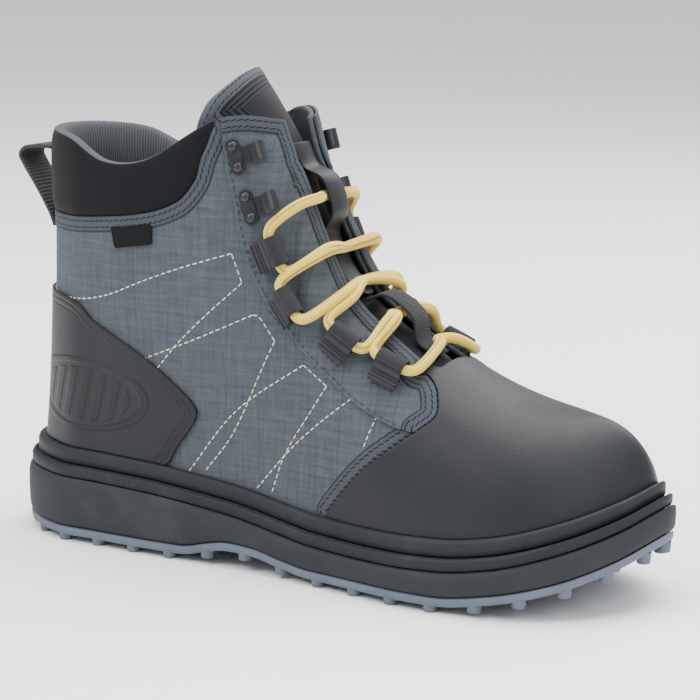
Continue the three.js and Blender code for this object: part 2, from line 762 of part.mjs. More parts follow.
// A band of even thickness along a path that is drawn from the side, as wide as width
function band(points, thickness, width, count) {
  const path = new THREE.SplineCurve(points.map(([x, z]) => new THREE.Vector2(x, z)));
  const left = [];
  const right = [];
  for (let k = 0; k <= count; k++) {
    const here = path.getPoint(k / count);
    const along = path.getTangent(k / count);
    const aside = new THREE.Vector2(-along.y, along.x).multiplyScalar(thickness / 2);
    left.push(here.clone().add(aside));
    right.push(here.clone().sub(aside));
  }
  const shape = new THREE.Shape([...left, ...right.reverse()]);
  const geometry = new THREE.ExtrudeGeometry(shape, { depth: width, bevelEnabled: false });
  return geometry.translate(0, 0, -width / 2);
}

// Pull loop: webbing from the back seam out and up, and back to the collar
function pullLoop() {
  const path = [
    [0.0502, 0.757], [0.0448, 0.781], [0.03, 0.825], [0.0126, 0.869], [-0.0032, 0.907], [-0.0095, 0.929],
    [-0.0032, 0.9455], [0.0158, 0.9525], [0.0347, 0.9536], [0.0462, 0.952],
  ].map(([x, z]) => [x * soleLength, z * shaftHeight]);
  return band(path, 1.6, pullWidth, 14).rotateX(Math.PI / 2);
}

// A frame on the upper's side, at one of the places along the throat, lifted clear of all that
// lies within its reach: z points away from the upper, x along the throat towards the rim
function frameAt(k, side, halfLength, reach, clearance) {
  const places = [...loopPlaces, ...hookPlaces].map(([x, z]) => (
    seenAt(x * soleLength, z * shaftHeight, side)
  ));
  const { t, v } = places[k];
  const out = outwards(t, v);
  const origin = onRib(t, v);
  const before = places[Math.max(k - 1, 0)];
  const after = places[Math.min(k + 1, places.length - 1)];
  const along = onRib(after.t, after.v).sub(onRib(before.t, before.v));
  along.addScaledVector(out, -along.dot(out)).normalize();
  const inwards = out.clone().cross(along);
  let lift = 0;
  for (let dt = -0.04; dt <= 0.04; dt += 0.002) {
    for (let dv = -0.24; dv <= 0.24; dv += 0.02) {
      const near = onForm(t + dt, Math.min(v + dv, 1), gap + stayThickness).sub(origin);
      const within = Math.abs(near.dot(along)) < halfLength && Math.abs(near.dot(inwards)) < reach;
      if (within) lift = Math.max(lift, near.dot(out));
    }
  }
  return new THREE.Matrix4()
    .makeBasis(along, inwards, out)
    .setPosition(origin.addScaledVector(out, lift + clearance));
}

const laceRadius = laceDiameter / 2;
const eyeRadius = laceRadius + 2 * gap;
const loopFrames = [-1, 1].map((side) => (
  loopPlaces.map((_, k) => frameAt(k, side, loopWidth / 2 + 1, 9, 2 * gap))
));

// Turns a shape that is drawn with x towards the throat and y away from the upper into a frame
function towardsThroat(side) {
  return new THREE.Matrix4().makeBasis(
    new THREE.Vector3(0, side, 0),
    new THREE.Vector3(0, 0, 1),
    new THREE.Vector3(side, 0, 0),
  );
}

// A lace loop: webbing with a flat tail and a round eye at the throat's side
function laceLoop(frame, side) {
  const outer = eyeRadius + webbing;
  const shape = new THREE.Shape();
  const tail = 8;
  shape.moveTo(-tail, 0);
  shape.lineTo(0, 0);
  shape.absarc(0, outer, outer, -Math.PI / 2, Math.PI * 0.7, false);
  shape.lineTo(-outer - 2, 2 * webbing);
  shape.lineTo(-tail, 2 * webbing);
  const eye = new THREE.Path();
  eye.absarc(0, outer, eyeRadius, 0, 2 * Math.PI, true);
  shape.holes.push(eye);
  const settings = { depth: loopWidth, bevelEnabled: false, curveSegments: 3 };
  const geometry = new THREE.ExtrudeGeometry(shape, settings).translate(0, 0, -loopWidth / 2);
  return geometry.applyMatrix4(towardsThroat(side)).applyMatrix4(frame);
}

// A lace hook: a strip with two rivets, and an open curl towards the throat
function laceHook(k, side) {
  const curl = band([[-8, 0.7], [3, 0.8], [6, 2.8], [5.4, 6], [1.6, 7]], 1.3, hookWidth, 6);
  let body = solid(curl.applyMatrix4(towardsThroat(side)));
  for (const along of [-4.6, 4.6]) {
    const rivet = new THREE.CylinderGeometry(2.3, 2.8, 2.4, 6).rotateX(Math.PI / 2);
    body = body.add(solid(rivet.translate(along, -6 * side, 1.2)));
  }
  return shown(body).applyMatrix4(frameAt(loopPlaces.length + k, side, 6.5, 7.5, gap));
}

// Side tab: a small bare label under the collar
function sideTab() {
  const corners = [[0.217, 0.792], [0.286, 0.809], [0.286, 0.76], [0.223, 0.743]];
  const region = sidePrism(corners.map(([x, z]) => [x * soleLength, z * shaftHeight]), -farSide, 0);
  return shown(shell(gap, gap + tabThickness).intersect(region));
}

// A round cord through points
function cord(points) {
  let aside = new THREE.Vector3(0, 0, 1);
  const sections = points.map((centre, k) => {
    const next = points[Math.min(k + 1, points.length - 1)];
    const along = next.clone().sub(points[Math.max(k - 1, 0)]).normalize();
    aside = aside.clone().addScaledVector(along, -aside.dot(along)).normalize();
    const across = along.clone().cross(aside);
    return Array.from({ length: 5 }, (_, i) => {
      const turn = (-2 * i * Math.PI) / 5;
      return centre.clone()
        .addScaledVector(aside, laceRadius * Math.cos(turn))
        .addScaledVector(across, laceRadius * Math.sin(turn));
    });
  });
  return solid(sweep(sections, false));
}

// Where the lace crosses the tongue's middle, from the bar at the front upwards: x as a share of
// soleLength and the height of the lace's centre above the tongue
const crossings = [
  { x: 0.654, lift: 5.6 }, { x: 0.592, lift: 3.2 }, { x: 0.542, lift: 5.6 }, { x: 0.506, lift: 5.6 },
  { x: 0.4765, lift: 3.6 },
];

// A point above the upper, found by its width from the middle line and by x less z
function above(target, side, lift) {
  const place = (s) => (side < 0 ? s : 1 - s);
  const width = Math.abs(target.y - ridgeY(target.x));
  const onSide = (s) => climb(place(s), (p) => width - Math.abs(p.y - ridgeY(p.x)));
  let low = 0.15;
  let high = 0.5;
  for (let k = 0; k < 14; k++) {
    const middle = (low + high) / 2;
    const point = onRib(place(middle), onSide(middle));
    if (point.x - point.z < target.x - target.z) low = middle;
    else high = middle;
  }
  return onForm(place(low), onSide(low), lift);
}

// Lace: a bar at the front and crossings from loop to loop. Each half zigzags from the top down,
// and the two are joined where they cross.
function lace() {
  const height = eyeRadius + webbing;
  const eye = (side, k, along, aside = 0) => {
    const point = new THREE.Vector3(along, side * aside, height - 0.2 * aside);
    return point.applyMatrix4(loopFrames[side < 0 ? 0 : 1][k]);
  };
  const end = loopWidth / 2 + 0.6;
  const rear = (side, k) => [eye(side, k, end), eye(side, k, end + 2.9, 1.6)];
  const front = (side, k) => [eye(side, k, -end - 2.9, 1.6), eye(side, k, -end)];
  const middle = ({ x, lift }) => onTongue(tongueAt(x), 0, lift);
  // From a loop to the middle, over the throat's edge: shares of the way with their lifts
  const clear = gap + stayThickness + gap + laceRadius;
  const slope = [{ share: 0.72, lift: clear + 3.4 }, { share: 0.46, lift: clear + 1.5 }];
  const descent = (from, side, k) => {
    const { t, v } = seenAt(from.x, from.z, side);
    const start = onRib(t, v);
    const centre = middle(crossings[k]);
    return slope.map(({ share, lift }) => above(centre.clone().lerp(start, share), side, lift));
  };
  const crossing = (side, k) => {
    const start = rear(side, k - 1);
    const finish = front(-side, k);
    const down = descent(start[1], side, k);
    const up = descent(finish[0], -side, k).reverse();
    return [...start, ...down, middle(crossings[k]), ...up, ...finish];
  };
  const half = (side) => [
    ...crossing(side, 1), ...crossing(-side, 2), ...crossing(side, 3), ...rear(-side, 3),
    ...descent(rear(-side, 3)[1], -side, 4), middle(crossings[4]),
    ...descent(rear(side, 3)[1], side, 4).slice(1).reverse(),
  ];
  const [left, right] = [-1, 1].map((side) => descent(front(side, 0)[0], side, 0).slice(1));
  const bar = [
    eye(1, 0, -0.4), ...front(1, 0).reverse(), ...right,
    middle(crossings[0]), ...left.reverse(), ...front(-1, 0),
  ];
  return shown(cord([...bar, ...half(-1)]).add(cord([eye(1, 0, 0.4), ...half(1)])));
}

piece("outsole", outsole(), "rubber");
piece("midsole", midsole(), "foam");
piece("welt", welt(), "edging");
piece("rand", rand(), "edging");
piece("insole", insole(), "lining");
piece("upper", upper(), "fabric");
piece("vamp", vamp(), "coated");
piece("heel_counter", heelCounter(), "coated");
piece("eyestay_lateral", eyestay(-1), "fabric");
piece("eyestay_medial", eyestay(1), "fabric");
piece("collar", collar(), "padding");
piece("tongue", tongue(), "fabric");
piece("tongue_strip", tongueStrip([
  { x: 0.557, lift: 0 }, { x: 0.53, lift: 0 }, { x: 0.51, lift: 0 }, { x: 0.494, lift: 0 },
  { x: 0.484, lift: 9.5 }, { x: 0.472, lift: 9.5 }, { x: 0.461, lift: 0.4 }, { x: 0.448, lift: 0 },
], stripHalf, 1.4), "coated");
piece("tongue_keeper", tongueStrip([
  { x: 0.667, lift: 0 }, { x: 0.641, lift: 0.1 }, { x: 0.62, lift: 9.1 },
  { x: 0.578, lift: 9.1 }, { x: 0.563, lift: 0.4 },
], stripHalf, webbing), "tape");
[[-1, "lateral"], [1, "medial"]].forEach(([side, name], i) => {
  loopFrames[i].forEach((frame, k) => {
    piece(`lace_loop_${name}_${k + 1}`, laceLoop(frame, side), "tape");
  });
  hookPlaces.forEach((_, k) => {
    piece(`lace_hook_${name}_${k + 1}`, laceHook(k, side), "metal");
  });
});
piece("lace", lace(), "cord");
piece("pull_loop", pullLoop(), "tape");
piece("side_tab", sideTab(), "padding");

export default boot;
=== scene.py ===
# %% [markdown]
# # A wading boot, dressed for its portrait
# The solids of the boot come from the CAD model and stay where they are. This notebook makes the
# smooth, finished pieces that stand in their places. Every piece is in metres, with the toe along
# +X, the medial side along +Y and the floor at z = 0.

import math

import bmesh
import bpy
import numpy as np
from mathutils import Matrix, Vector, kdtree


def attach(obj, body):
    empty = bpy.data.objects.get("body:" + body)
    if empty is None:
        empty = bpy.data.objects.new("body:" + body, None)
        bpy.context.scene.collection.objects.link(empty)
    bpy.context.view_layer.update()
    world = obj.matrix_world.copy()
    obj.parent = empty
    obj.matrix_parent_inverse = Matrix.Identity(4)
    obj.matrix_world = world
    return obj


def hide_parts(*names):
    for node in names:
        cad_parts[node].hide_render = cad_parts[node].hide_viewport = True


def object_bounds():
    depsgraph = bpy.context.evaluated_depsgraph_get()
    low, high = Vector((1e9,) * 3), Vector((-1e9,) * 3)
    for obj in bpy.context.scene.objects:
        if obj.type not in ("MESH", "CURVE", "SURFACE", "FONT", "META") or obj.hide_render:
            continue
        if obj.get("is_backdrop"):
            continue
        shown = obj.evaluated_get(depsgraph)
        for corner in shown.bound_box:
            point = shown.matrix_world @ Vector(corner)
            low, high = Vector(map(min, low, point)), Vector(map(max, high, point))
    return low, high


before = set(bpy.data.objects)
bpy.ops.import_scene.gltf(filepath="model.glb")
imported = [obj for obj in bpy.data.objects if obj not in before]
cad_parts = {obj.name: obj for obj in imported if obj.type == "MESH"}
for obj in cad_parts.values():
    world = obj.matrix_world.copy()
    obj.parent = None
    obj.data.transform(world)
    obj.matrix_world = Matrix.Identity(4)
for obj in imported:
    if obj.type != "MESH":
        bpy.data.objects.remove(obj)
solid_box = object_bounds()
print("the solids fill", [tuple(round(c, 4) for c in corner) for corner in solid_box])

# %% [markdown]
# ## Camera first
# The photograph was taken with a long lens from a little above the boot, turned towards the toe.
# A long lens keeps the shapes calm, so its distance and its lens length go together.

# %% Camera
az, el = math.radians(30.55), math.radians(11.28)
back = Vector((math.sin(az) * math.cos(el), -math.cos(az) * math.cos(el), math.sin(el)))
camera = bpy.data.objects.new("camera", bpy.data.cameras.new("camera"))
bpy.context.scene.collection.objects.link(camera)
bpy.context.scene.camera = camera
camera.location = Vector((0.108, 0, 0.08)) + 1.1 * back
turned = (-back).to_track_quat("-Z", "Y").to_matrix() @ Matrix.Rotation(math.radians(0.2), 3, "Z")
camera.rotation_euler = turned.to_euler()
camera.data.sensor_width = 36
camera.data.lens = 2508 / 700 * 36
camera.data.shift_x = (350 - 316) / 700
camera.data.shift_y = (377.47 - 350) / 700
print("lens", round(camera.data.lens, 1), "mm")

# %% [markdown]
# ## Floor and light
# A pale floor and large soft lamps give the even light of a catalogue picture. The floor is one
# big plane, and the world lights it almost white.

# %% Floor and light
floor_mesh = bmesh.new()
bmesh.ops.create_grid(floor_mesh, x_segments=1, y_segments=1, size=6)
floor_data = bpy.data.meshes.new("floor")
floor_mesh.to_mesh(floor_data)
floor_mesh.free()
floor = bpy.data.objects.new("floor", floor_data)
bpy.context.scene.collection.objects.link(floor)
floor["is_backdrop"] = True

world = bpy.data.worlds.new("studio")
bpy.context.scene.world = world
world.use_nodes = True
world.node_tree.nodes["Background"].inputs["Color"].default_value = (1, 1, 1, 1)
world.node_tree.nodes["Background"].inputs["Strength"].default_value = 0.95


def lamp(name, place, aim, size, power):
    """A square soft lamp that looks from place to aim."""
    light = bpy.data.lights.new(name, "AREA")
    light.size, light.energy = size, power
    holder = bpy.data.objects.new(name, light)
    holder.location = place
    holder.rotation_euler = (Vector(aim) - Vector(place)).to_track_quat("-Z", "Y").to_euler()
    bpy.context.scene.collection.objects.link(holder)


lamp("key", (-0.5, -1.1, 1.3), (0.1, 0, 0.06), 0.9, 24)
lamp("toe", (1.2, -0.5, 0.9), (0.15, 0, 0.05), 0.7, 7)
lamp("top", (0.2, 0.2, 1.7), (0.1, 0, 0.05), 1.5, 55)
lamp("rim", (0.3, 1.2, 1.1), (0.1, 0, 0.1), 0.8, 14)
print("floor, world and four lamps")

# %% [markdown]
# ## Sizes and tables of the last
# A boot is built round a last, so every piece follows one form. The same sizes and tables as in
# the solids' source give it here, in millimetres, with x counted from the back of the heel.

# %% Sizes and tables
sole_length, ball_width, heel_height, shaft_height = 317, 112, 30, 183
heel_centre, toe_shift, throat_shift, gap = 42, 5, 3.4, 0.3
stud_height, large_stud, small_stud = 3, 13, 6.4
stud_pitch, edge_stud_pitch, edge_stud_inset = 33, 19.6, 4.6
plate_thickness, plate_inset, welt_thickness, welt_inset = 3.8, 1, 5, 1.8
rand_height, rand_inset, upper_inset, insole_thickness = 7, 4.8, 8.6, 4
wall, vamp_thickness, counter_thickness, stay_thickness = 2.2, 1.2, 1.5, 1.2
throat_end, throat_front_half, collar_out, collar_in = 219, 17.5, 2, 7.5
lace_diameter, webbing, loop_width, hook_width = 4.6, 1.2, 13, 8
tongue_thickness, strip_half, pull_width = 6.5, 6.5, 18

# at, lateral, medial, top x, top half, top z
stations = np.array([
    (0, 0, 0, 0.053, 0, 1.008), (0.03, 0.205, 0.2, 0.081, 0.179, 1.005),
    (0.115, 0.355, 0.345, 0.136, 0.277, 0.992), (0.18, 0.37, 0.352, 0.201, 0.321, 0.948),
    (0.26, 0.38, 0.355, 0.27, 0.33, 0.956), (0.41, 0.385, 0.32, 0.392, 0.28, 1.068),
    (0.49, 0.405, 0.335, 0.44, 0.16, 1.062), (0.55, 0.43, 0.36, 0.458, 0, 1.03),
    (0.62, 0.465, 0.405, 0.499, 0, 0.85), (0.7, 0.502, 0.455, 0.541, 0, 0.706),
    (0.77, 0.5, 0.475, 0.616, 0, 0.605), (0.84, 0.475, 0.47, 0.708, 0, 0.5),
    (0.9, 0.4, 0.41, 0.783, 0, 0.447), (0.955, 0.25, 0.31, 0.837, 0, 0.425),
    (1, 0, 0, 0.877, 0, 0.417),
])
# bulge, rise, lean, spread, drop of each rib
rib_shapes = np.array([
    (-0.047, 0.164, 0.003, 0, 0.352), (-0.042, 0.17, 0.004, 0.01, 0.35),
    (-0.018, 0.2, 0.004, 0.02, 0.34), (-0.005, 0.22, 0, 0.01, 0.31), (0, 0.23, 0, 0.01, 0.3),
    (0.005, 0.2, 0.005, 0.03, 0.33), (0.005, 0.16, 0.022, 0.14, 0.25),
    (0.003, 0.14, 0.016, 0.27, 0.1), (0.003, 0.13, 0.01, 0.31, 0.07),
    (0.003, 0.13, 0.012, 0.31, 0.06), (0.006, 0.14, 0.014, 0.31, 0.045),
    (0.009, 0.16, 0.016, 0.3, 0.02), (0.012, 0.155, 0.019, 0.26, 0.005),
    (0.016, 0.14, 0.035, 0.19, 0), (0.02, 0.087, 0.075, 0, 0),
])
# at, tread, top of the sole from the side
profile = np.array([
    (0, 0.075, 1), (0.05, 0.015, 0.996), (0.1, 0, 0.99), (0.18, 0, 0.975), (0.27, 0, 0.94),
    (0.335, 0.005, 0.88), (0.37, 0.09, 0.84), (0.41, 0.165, 0.793), (0.45, 0.15, 0.73),
    (0.5, 0.06, 0.64), (0.55, 0, 0.57), (0.64, 0, 0.542), (0.75, 0, 0.573), (0.82, 0.1, 0.677),
    (0.9, 0.3, 0.907), (0.96, 0.56, 1.17), (1, 0.85, 1.46),
])
collar_line = np.array([
    (0, 0.809), (0.123, 0.809), (0.211, 0.82), (0.274, 0.836), (0.327, 0.869), (0.355, 0.923),
    (0.365, 0.984), (0.374, 1.016), (0.3815, 1.06),
])
counter_seam = [
    (-0.063, 0.617), (0.126, 0.607), (0.18, 0.557), (0.233, 0.514), (0.28, 0.47), (0.321, 0.421),
    (0.348, 0.38), (0.351, 0.355), (0.34, 0.322), (0.318, 0.273), (0.296, 0.208),
]
vamp_seam = [
    (0.553, 0.131), (0.572, 0.18), (0.603, 0.245), (0.635, 0.301), (0.668, 0.347), (0.698, 0.387),
    (0.717, 0.42), (0.709, 0.458), (0.697, 0.481), (0.685, 0.497), (0.67, 0.52), (0.67, 0.71),
]
stay_seam = [
    (0.387, 1.1), (0.396, 0.962), (0.406, 0.891), (0.421, 0.776), (0.44, 0.699), (0.472, 0.617),
    (0.509, 0.552), (0.557, 0.492), (0.61, 0.432), (0.664, 0.393), (0.72, 0.38),
]
throat_line = [
    (0.372, 30), (0.4, 24), (0.422, 17.5), (0.438, 13.5), (0.46, 11), (0.5, 10.5), (0.56, 12),
    (0.63, 15.5),
]
# x, z, half width, sag and thickness of the tongue along its middle
tongue_path = np.array([
    (0.7445, 0.456, 0.19, 0.07, 0.5), (0.7, 0.48, 0.205, 0.075, 0.7),
    (0.655, 0.5355, 0.205, 0.08, 0.85), (0.6063, 0.5825, 0.205, 0.08, 0.9),
    (0.5653, 0.6317, 0.205, 0.08, 0.9), (0.528, 0.688, 0.205, 0.08, 0.9),
    (0.5006, 0.763, 0.205, 0.085, 0.95), (0.4833, 0.838, 0.205, 0.1, 1),
    (0.4662, 0.9225, 0.21, 0.12, 1.1), (0.444, 1.009, 0.22, 0.15, 1.3),
    (0.414, 1.088, 0.24, 0.19, 1.5), (0.382, 1.15, 0.29, 0.18, 1.5),
    (0.351, 1.204, 0.32, 0.13, 1),
])
loop_places = [(0.642, 0.511), (0.571, 0.5655), (0.5095, 0.646), (0.4685, 0.761)]
hook_places = [(0.446, 0.87), (0.4245, 0.985)]
print(len(stations), "stations and", len(profile), "rows of the sole's side")

# %% [markdown]
# ## Curves through the tables
# Two kinds of curve are needed: one that runs smoothly through points in space, and one that
# reads a table's column without overshooting its rows.

# %% Curves
def through(a, b, c, d, w):
    """The point at share w between b and c on a centripetal curve through four points."""
    def step(p, q):
        return ((p - q) ** 2).sum(-1, keepdims=True) ** 0.25

    one = step(b, c)
    one = np.where(one < 1e-4, 1, one)
    before, after = step(a, b), step(c, d)
    before = np.where(before < 1e-4, one, before)
    after = np.where(after < 1e-4, one, after)
    m = ((b - a) / before - (c - a) / (before + one) + (c - b) / one) * one
    n = ((c - b) / one - (d - b) / (one + after) + (d - c) / after) * one
    return b + m * w + (3 * (c - b) - 2 * m - n) * w**2 + (2 * (b - c) + m + n) * w**3


class Closed:
    """A closed curve through points, t from 0 to 1."""

    def __init__(self, points):
        self.points = np.array(points, float)

    def __call__(self, t):
        count = len(self.points)
        s = np.mod(np.asarray(t, float), 1) * count
        k = np.floor(s).astype(int)
        near = [self.points[(k + i) % count] for i in (-1, 0, 1, 2)]
        return through(*near, (s - k)[..., None])


class Open:
    """A curve from the first point to the last, t from 0 to 1."""

    def __init__(self, points):
        p = np.array(points, float)
        self.points = np.vstack([2 * p[0] - p[1], p, 2 * p[-1] - p[-2]])

    def __call__(self, t):
        count = len(self.points) - 3
        s = np.clip(np.asarray(t, float), 0, 1) * count
        k = np.minimum(np.floor(s).astype(int), count - 1)
        near = [self.points[k + i] for i in range(4)]
        return through(*near, (s - k)[..., None])


def lengths(points):
    """The way along a line of points, up to each of them."""
    steps = np.linalg.norm(np.diff(points, axis=0), axis=1)
    return np.concatenate([[0], np.cumsum(steps)])


def smooth(rows, column, x):
    """A column of a table at x, its first column being the place."""
    at, y = rows[:, 0], rows[:, column]
    slope = np.diff(y) / np.diff(at)
    total = slope[:-1] + slope[1:]
    both = slope[:-1] * slope[1:]
    inner = np.where(both <= 0, 0, 2 * both / np.where(total == 0, 1, total))
    bend = np.concatenate([slope[:1], inner, slope[-1:]])
    k = np.clip(np.searchsorted(at, x, side="right") - 1, 0, len(at) - 2)
    width = at[k + 1] - at[k]
    s = np.clip((x - at[k]) / width, 0, 1)
    start = y[k] * (1 + 2 * s) + bend[k] * width * s
    end = y[k + 1] * (3 - 2 * s) + bend[k + 1] * width * (s - 1)
    return start * (1 - s) ** 2 + end * s**2


def drawn(shares, count):
    """A seam that is drawn from the side: a smooth line in millimetres."""
    p = np.array(shares, float) * (sole_length, shaft_height)
    ends = np.vstack([p[0], p, p[-1]])
    s = np.linspace(0, len(p) - 1, count + 1)
    k = np.minimum(s.astype(int), len(p) - 2)
    w = (s - k)[:, None]
    a, b, c, d = (ends[k + i] for i in range(4))
    m, n = (c - a) / 2, (d - b) / 2
    return b + m * w + (3 * (c - b) - 2 * m - n) * w**2 + (2 * (b - c) + m + n) * w**3


print("the counter's seam has", len(drawn(counter_seam, 90)), "points")

# %% [markdown]
# ## The form of the upper
# Ribs rise from the sole's edge to the top line. Each is a Bezier curve with four points that come
# from the tables. Its outward direction lets a piece lie at any height above the last.

# %% The form
def tread(x):
    return heel_height * smooth(profile, 1, x / sole_length)


def sole_top(x):
    return heel_height * smooth(profile, 2, x / sole_length)


def on_sole(x):
    return sole_top(x) + 1.5 * gap


def welt_top(x):
    return on_sole(x) + welt_thickness


def rand_top(x):
    return welt_top(x) + gap + rand_height


def collar_edge(x):
    return shaft_height * smooth(collar_line, 1, x / sole_length)


def ridge_y(x):
    share = x / sole_length
    return toe_shift * share**3 - throat_shift * (4 * share * (1 - share)) ** 2


def around(rows, pick):
    """A closed curve from the heel along the lateral side to the toe, and back."""
    lateral = [pick(row, -1) for row in rows]
    medial = [pick(row, 1) for row in rows[1:-1]]
    return Closed(lateral + medial[::-1])


plan = around(stations, lambda r, side: (
    r[0] * sole_length, toe_shift if r[0] == 1 else side * ball_width * r[1 if side < 0 else 2], 0,
))
tops = around(stations, lambda r, side: (
    r[3] * sole_length, side * r[4] * ball_width, r[5] * shaft_height,
))
swells = around(rib_shapes, lambda r, side: (r[0] * ball_width, r[1] * shaft_height, 0))
handles = around(rib_shapes, lambda r, side: (
    r[2] * sole_length, side * r[3] * ball_width, -r[4] * shaft_height,
))


def unit(v):
    return v / np.maximum(np.linalg.norm(v, axis=-1, keepdims=True), 1e-12)


def edge(t, inset):
    """The sole's outline, moved inwards."""
    along = unit(plan(t + 0.0005) - plan(t - 0.0005))
    p = plan(t)
    return np.stack([p[..., 0] - along[..., 1] * inset, p[..., 1] + along[..., 0] * inset,
                     np.zeros(np.shape(t))], -1)


def on_rib(t, v):
    """The form at rib t and height v, both from 0 to 1."""
    t = np.mod(t, 1)
    foot = edge(t, upper_inset)
    outside = unit(edge(t, 0) - foot)
    foot[..., 2] = sole_top(foot[..., 0]) + gap
    swell = swells(t)
    low = foot + outside * swell[..., :1]
    low[..., 2] += swell[..., 1]
    top = tops(t)
    half = np.where(t < 0.5, np.minimum(top[..., 1], 0), np.maximum(top[..., 1], 0))
    top[..., 1] = half + ridge_y(top[..., 0])
    high = handles(t) + top
    v = np.asarray(v, float)[..., None]
    u = 1 - v
    return foot * u**3 + 3 * low * u**2 * v + 3 * high * u * v**2 + top * v**3


def facing(t, v):
    across = on_rib(t + 0.001, v) - on_rib(t - 0.001, v)
    up = on_rib(t, np.minimum(v + 0.01, 1)) - on_rib(t, np.maximum(v - 0.01, 0))
    return unit(np.cross(across, up))


def outwards(t, v):
    """The direction away from the foot. The two sides share it where they meet on the ridge."""
    t, v = np.broadcast_arrays(np.asarray(t, float), np.asarray(v, float))
    calm = 0.97  # above this height the two sides fold together
    near_ridge = (v > calm) & (np.abs(tops(t)[..., 1]) < 0.02)
    height = np.where(near_ridge, calm, v)
    here = facing(t, height)
    shared = unit(here + facing(1 - t, height))
    share = np.where(near_ridge, (v - calm) / (1 - calm), 0)[..., None]
    return unit(here * (1 - share) + shared * share)


def on_form(t, v, offset=0.0):
    offset = np.broadcast_to(np.asarray(offset, float), np.shape(t))
    return on_rib(t, v) + outwards(t, v) * offset[..., None]


def climb(t, test):
    """The height on rib t at which a rising test turns positive."""
    low, high = np.zeros(np.shape(t)), np.ones(np.shape(t))
    for _ in range(22):
        middle = (low + high) / 2
        under = test(on_rib(t, middle)) < 0
        low, high = np.where(under, middle, low), np.where(under, high, middle)
    return (low + high) / 2


def seen_at(x, z, side):
    """The rib and height that are seen at x and z from one side."""
    x, z = np.atleast_1d(np.asarray(x, float)), np.atleast_1d(np.asarray(z, float))

    def miss(s, v):
        p = on_rib(s if side < 0 else 1 - s, v)
        return (p[..., 0] - x) ** 2 + (p[..., 2] - z) ** 2

    s0, v0 = (g.ravel() for g in np.meshgrid(np.arange(0.01, 0.5, 0.01), np.arange(0.02, 1, 0.03)))
    p = on_rib(s0 if side < 0 else 1 - s0, v0)
    first = np.argmin((p[:, 0] - x[:, None]) ** 2 + (p[:, 2] - z[:, None]) ** 2, 1)
    s, v = s0[first], v0[first]
    far = miss(s, v)
    reach = 0.01
    while reach > 0.00002:
        for ds, dv in ((reach, 0), (-reach, 0), (0, 2 * reach), (0, -2 * reach)):
            s1, v1 = s + ds, np.minimum(v + dv, 1)
            far1 = miss(s1, v1)
            better = far1 < far
            s, v, far = (np.where(better, a, b) for a, b in ((s1, s), (v1, v), (far1, far)))
        reach *= 0.6
    return (s if side < 0 else 1 - s), v


print("the toe's tip lies at", np.round(on_rib(np.array([0.5]), np.array([0.4]))[0], 1))

# %% [markdown]
# ## Where the panels end
# Each border is a signed distance in millimetres: positive where the panel is kept. Borders that
# meet are joined with a minimum, as two cuts of a knife would be.

# %% Borders of the panels
def signed(polygon, x, z):
    """Distance from a closed outline, positive inside it."""
    a = np.asarray(polygon, float)
    b = np.roll(a, -1, 0)
    x, z = x[:, None], z[:, None]
    d = b - a
    share = ((x - a[:, 0]) * d[:, 0] + (z - a[:, 1]) * d[:, 1]) / np.maximum((d**2).sum(1), 1e-9)
    share = np.clip(share, 0, 1)
    far = np.hypot(x - a[:, 0] - share * d[:, 0], z - a[:, 1] - share * d[:, 1]).min(1)
    rises = (a[:, 1] > z) != (b[:, 1] > z)
    reach = a[:, 0] + d[:, 0] * (z - a[:, 1]) / np.where(d[:, 1] == 0, 1e-9, d[:, 1])
    inside = (rises & (x < reach)).sum(1) % 2 == 1
    return np.where(inside, far, -far)


above_all = 1.4 * shaft_height
seam = drawn(vamp_seam, 110)
beyond = 1.1 * sole_length
vamp_outline = np.vstack([seam[::-1], [(beyond, seam[0][1]), (beyond, seam[-1][1])]])
seam = drawn(counter_seam, 90)
counter_outline = np.vstack([seam[::-1], [(seam[0][0], seam[-1][1])]])
seam = drawn(stay_seam, 100)
front = 0.79 * sole_length
stay_outline = np.vstack([seam, [(front, seam[-1][1]), (front, above_all), (seam[0][0], above_all)]])
throat_rows = [(x * sole_length, half) for x, half in throat_line]
throat_rows += [(throat_end - 4, throat_front_half), (throat_end, 0.75 * throat_front_half)]
throat_x, throat_half = np.array(throat_rows).T
collar_end = collar_line[-1][0] * sole_length


def in_vamp(p):
    return signed(vamp_outline, p[:, 0], p[:, 2])


def in_counter(p):
    return signed(counter_outline, p[:, 0], p[:, 2])


def in_stay(p):
    return signed(stay_outline, p[:, 0], p[:, 2])


def out_of_throat(p):
    half = np.interp(p[:, 0], throat_x, throat_half)
    aside = np.abs(p[:, 1] - ridge_y(p[:, 0])) - half
    far = np.maximum.reduce([aside, p[:, 0] - throat_end, throat_x[0] - p[:, 0]])
    return np.where(p[:, 2] < 0.35 * shaft_height, 20, far)


def under_collar(p):
    return np.maximum(collar_edge(p[:, 0]) - p[:, 2], p[:, 0] - collar_end)


def over_rand(p):
    return p[:, 2] - rand_top(p[:, 0]) - gap


print("panel outlines of", len(vamp_outline), len(counter_outline), len(stay_outline), "corners")

# %% [markdown]
# ## Grids that become cloth
# A flat grid from Blender is a piece of cloth with its own two directions. It is trimmed while it
# is still flat, and then each of its points moves to its place on the boot. The same helper makes
# tubes and rings: the grid's opposite edges are laid together and merged.

# %% Helpers for grids
def grid(nu, nv):
    """A flat grid from 0 to 1 both ways."""
    bm = bmesh.new()
    bm.loops.layers.uv.new("cloth")
    bmesh.ops.create_grid(bm, x_segments=nu, y_segments=nv, size=0.5)
    bmesh.ops.translate(bm, verts=bm.verts, vec=(0.5, 0.5, 0))
    return bm


def flat(bm):
    co = np.array([v.co[:] for v in bm.verts])
    return co[:, 0], co[:, 1]


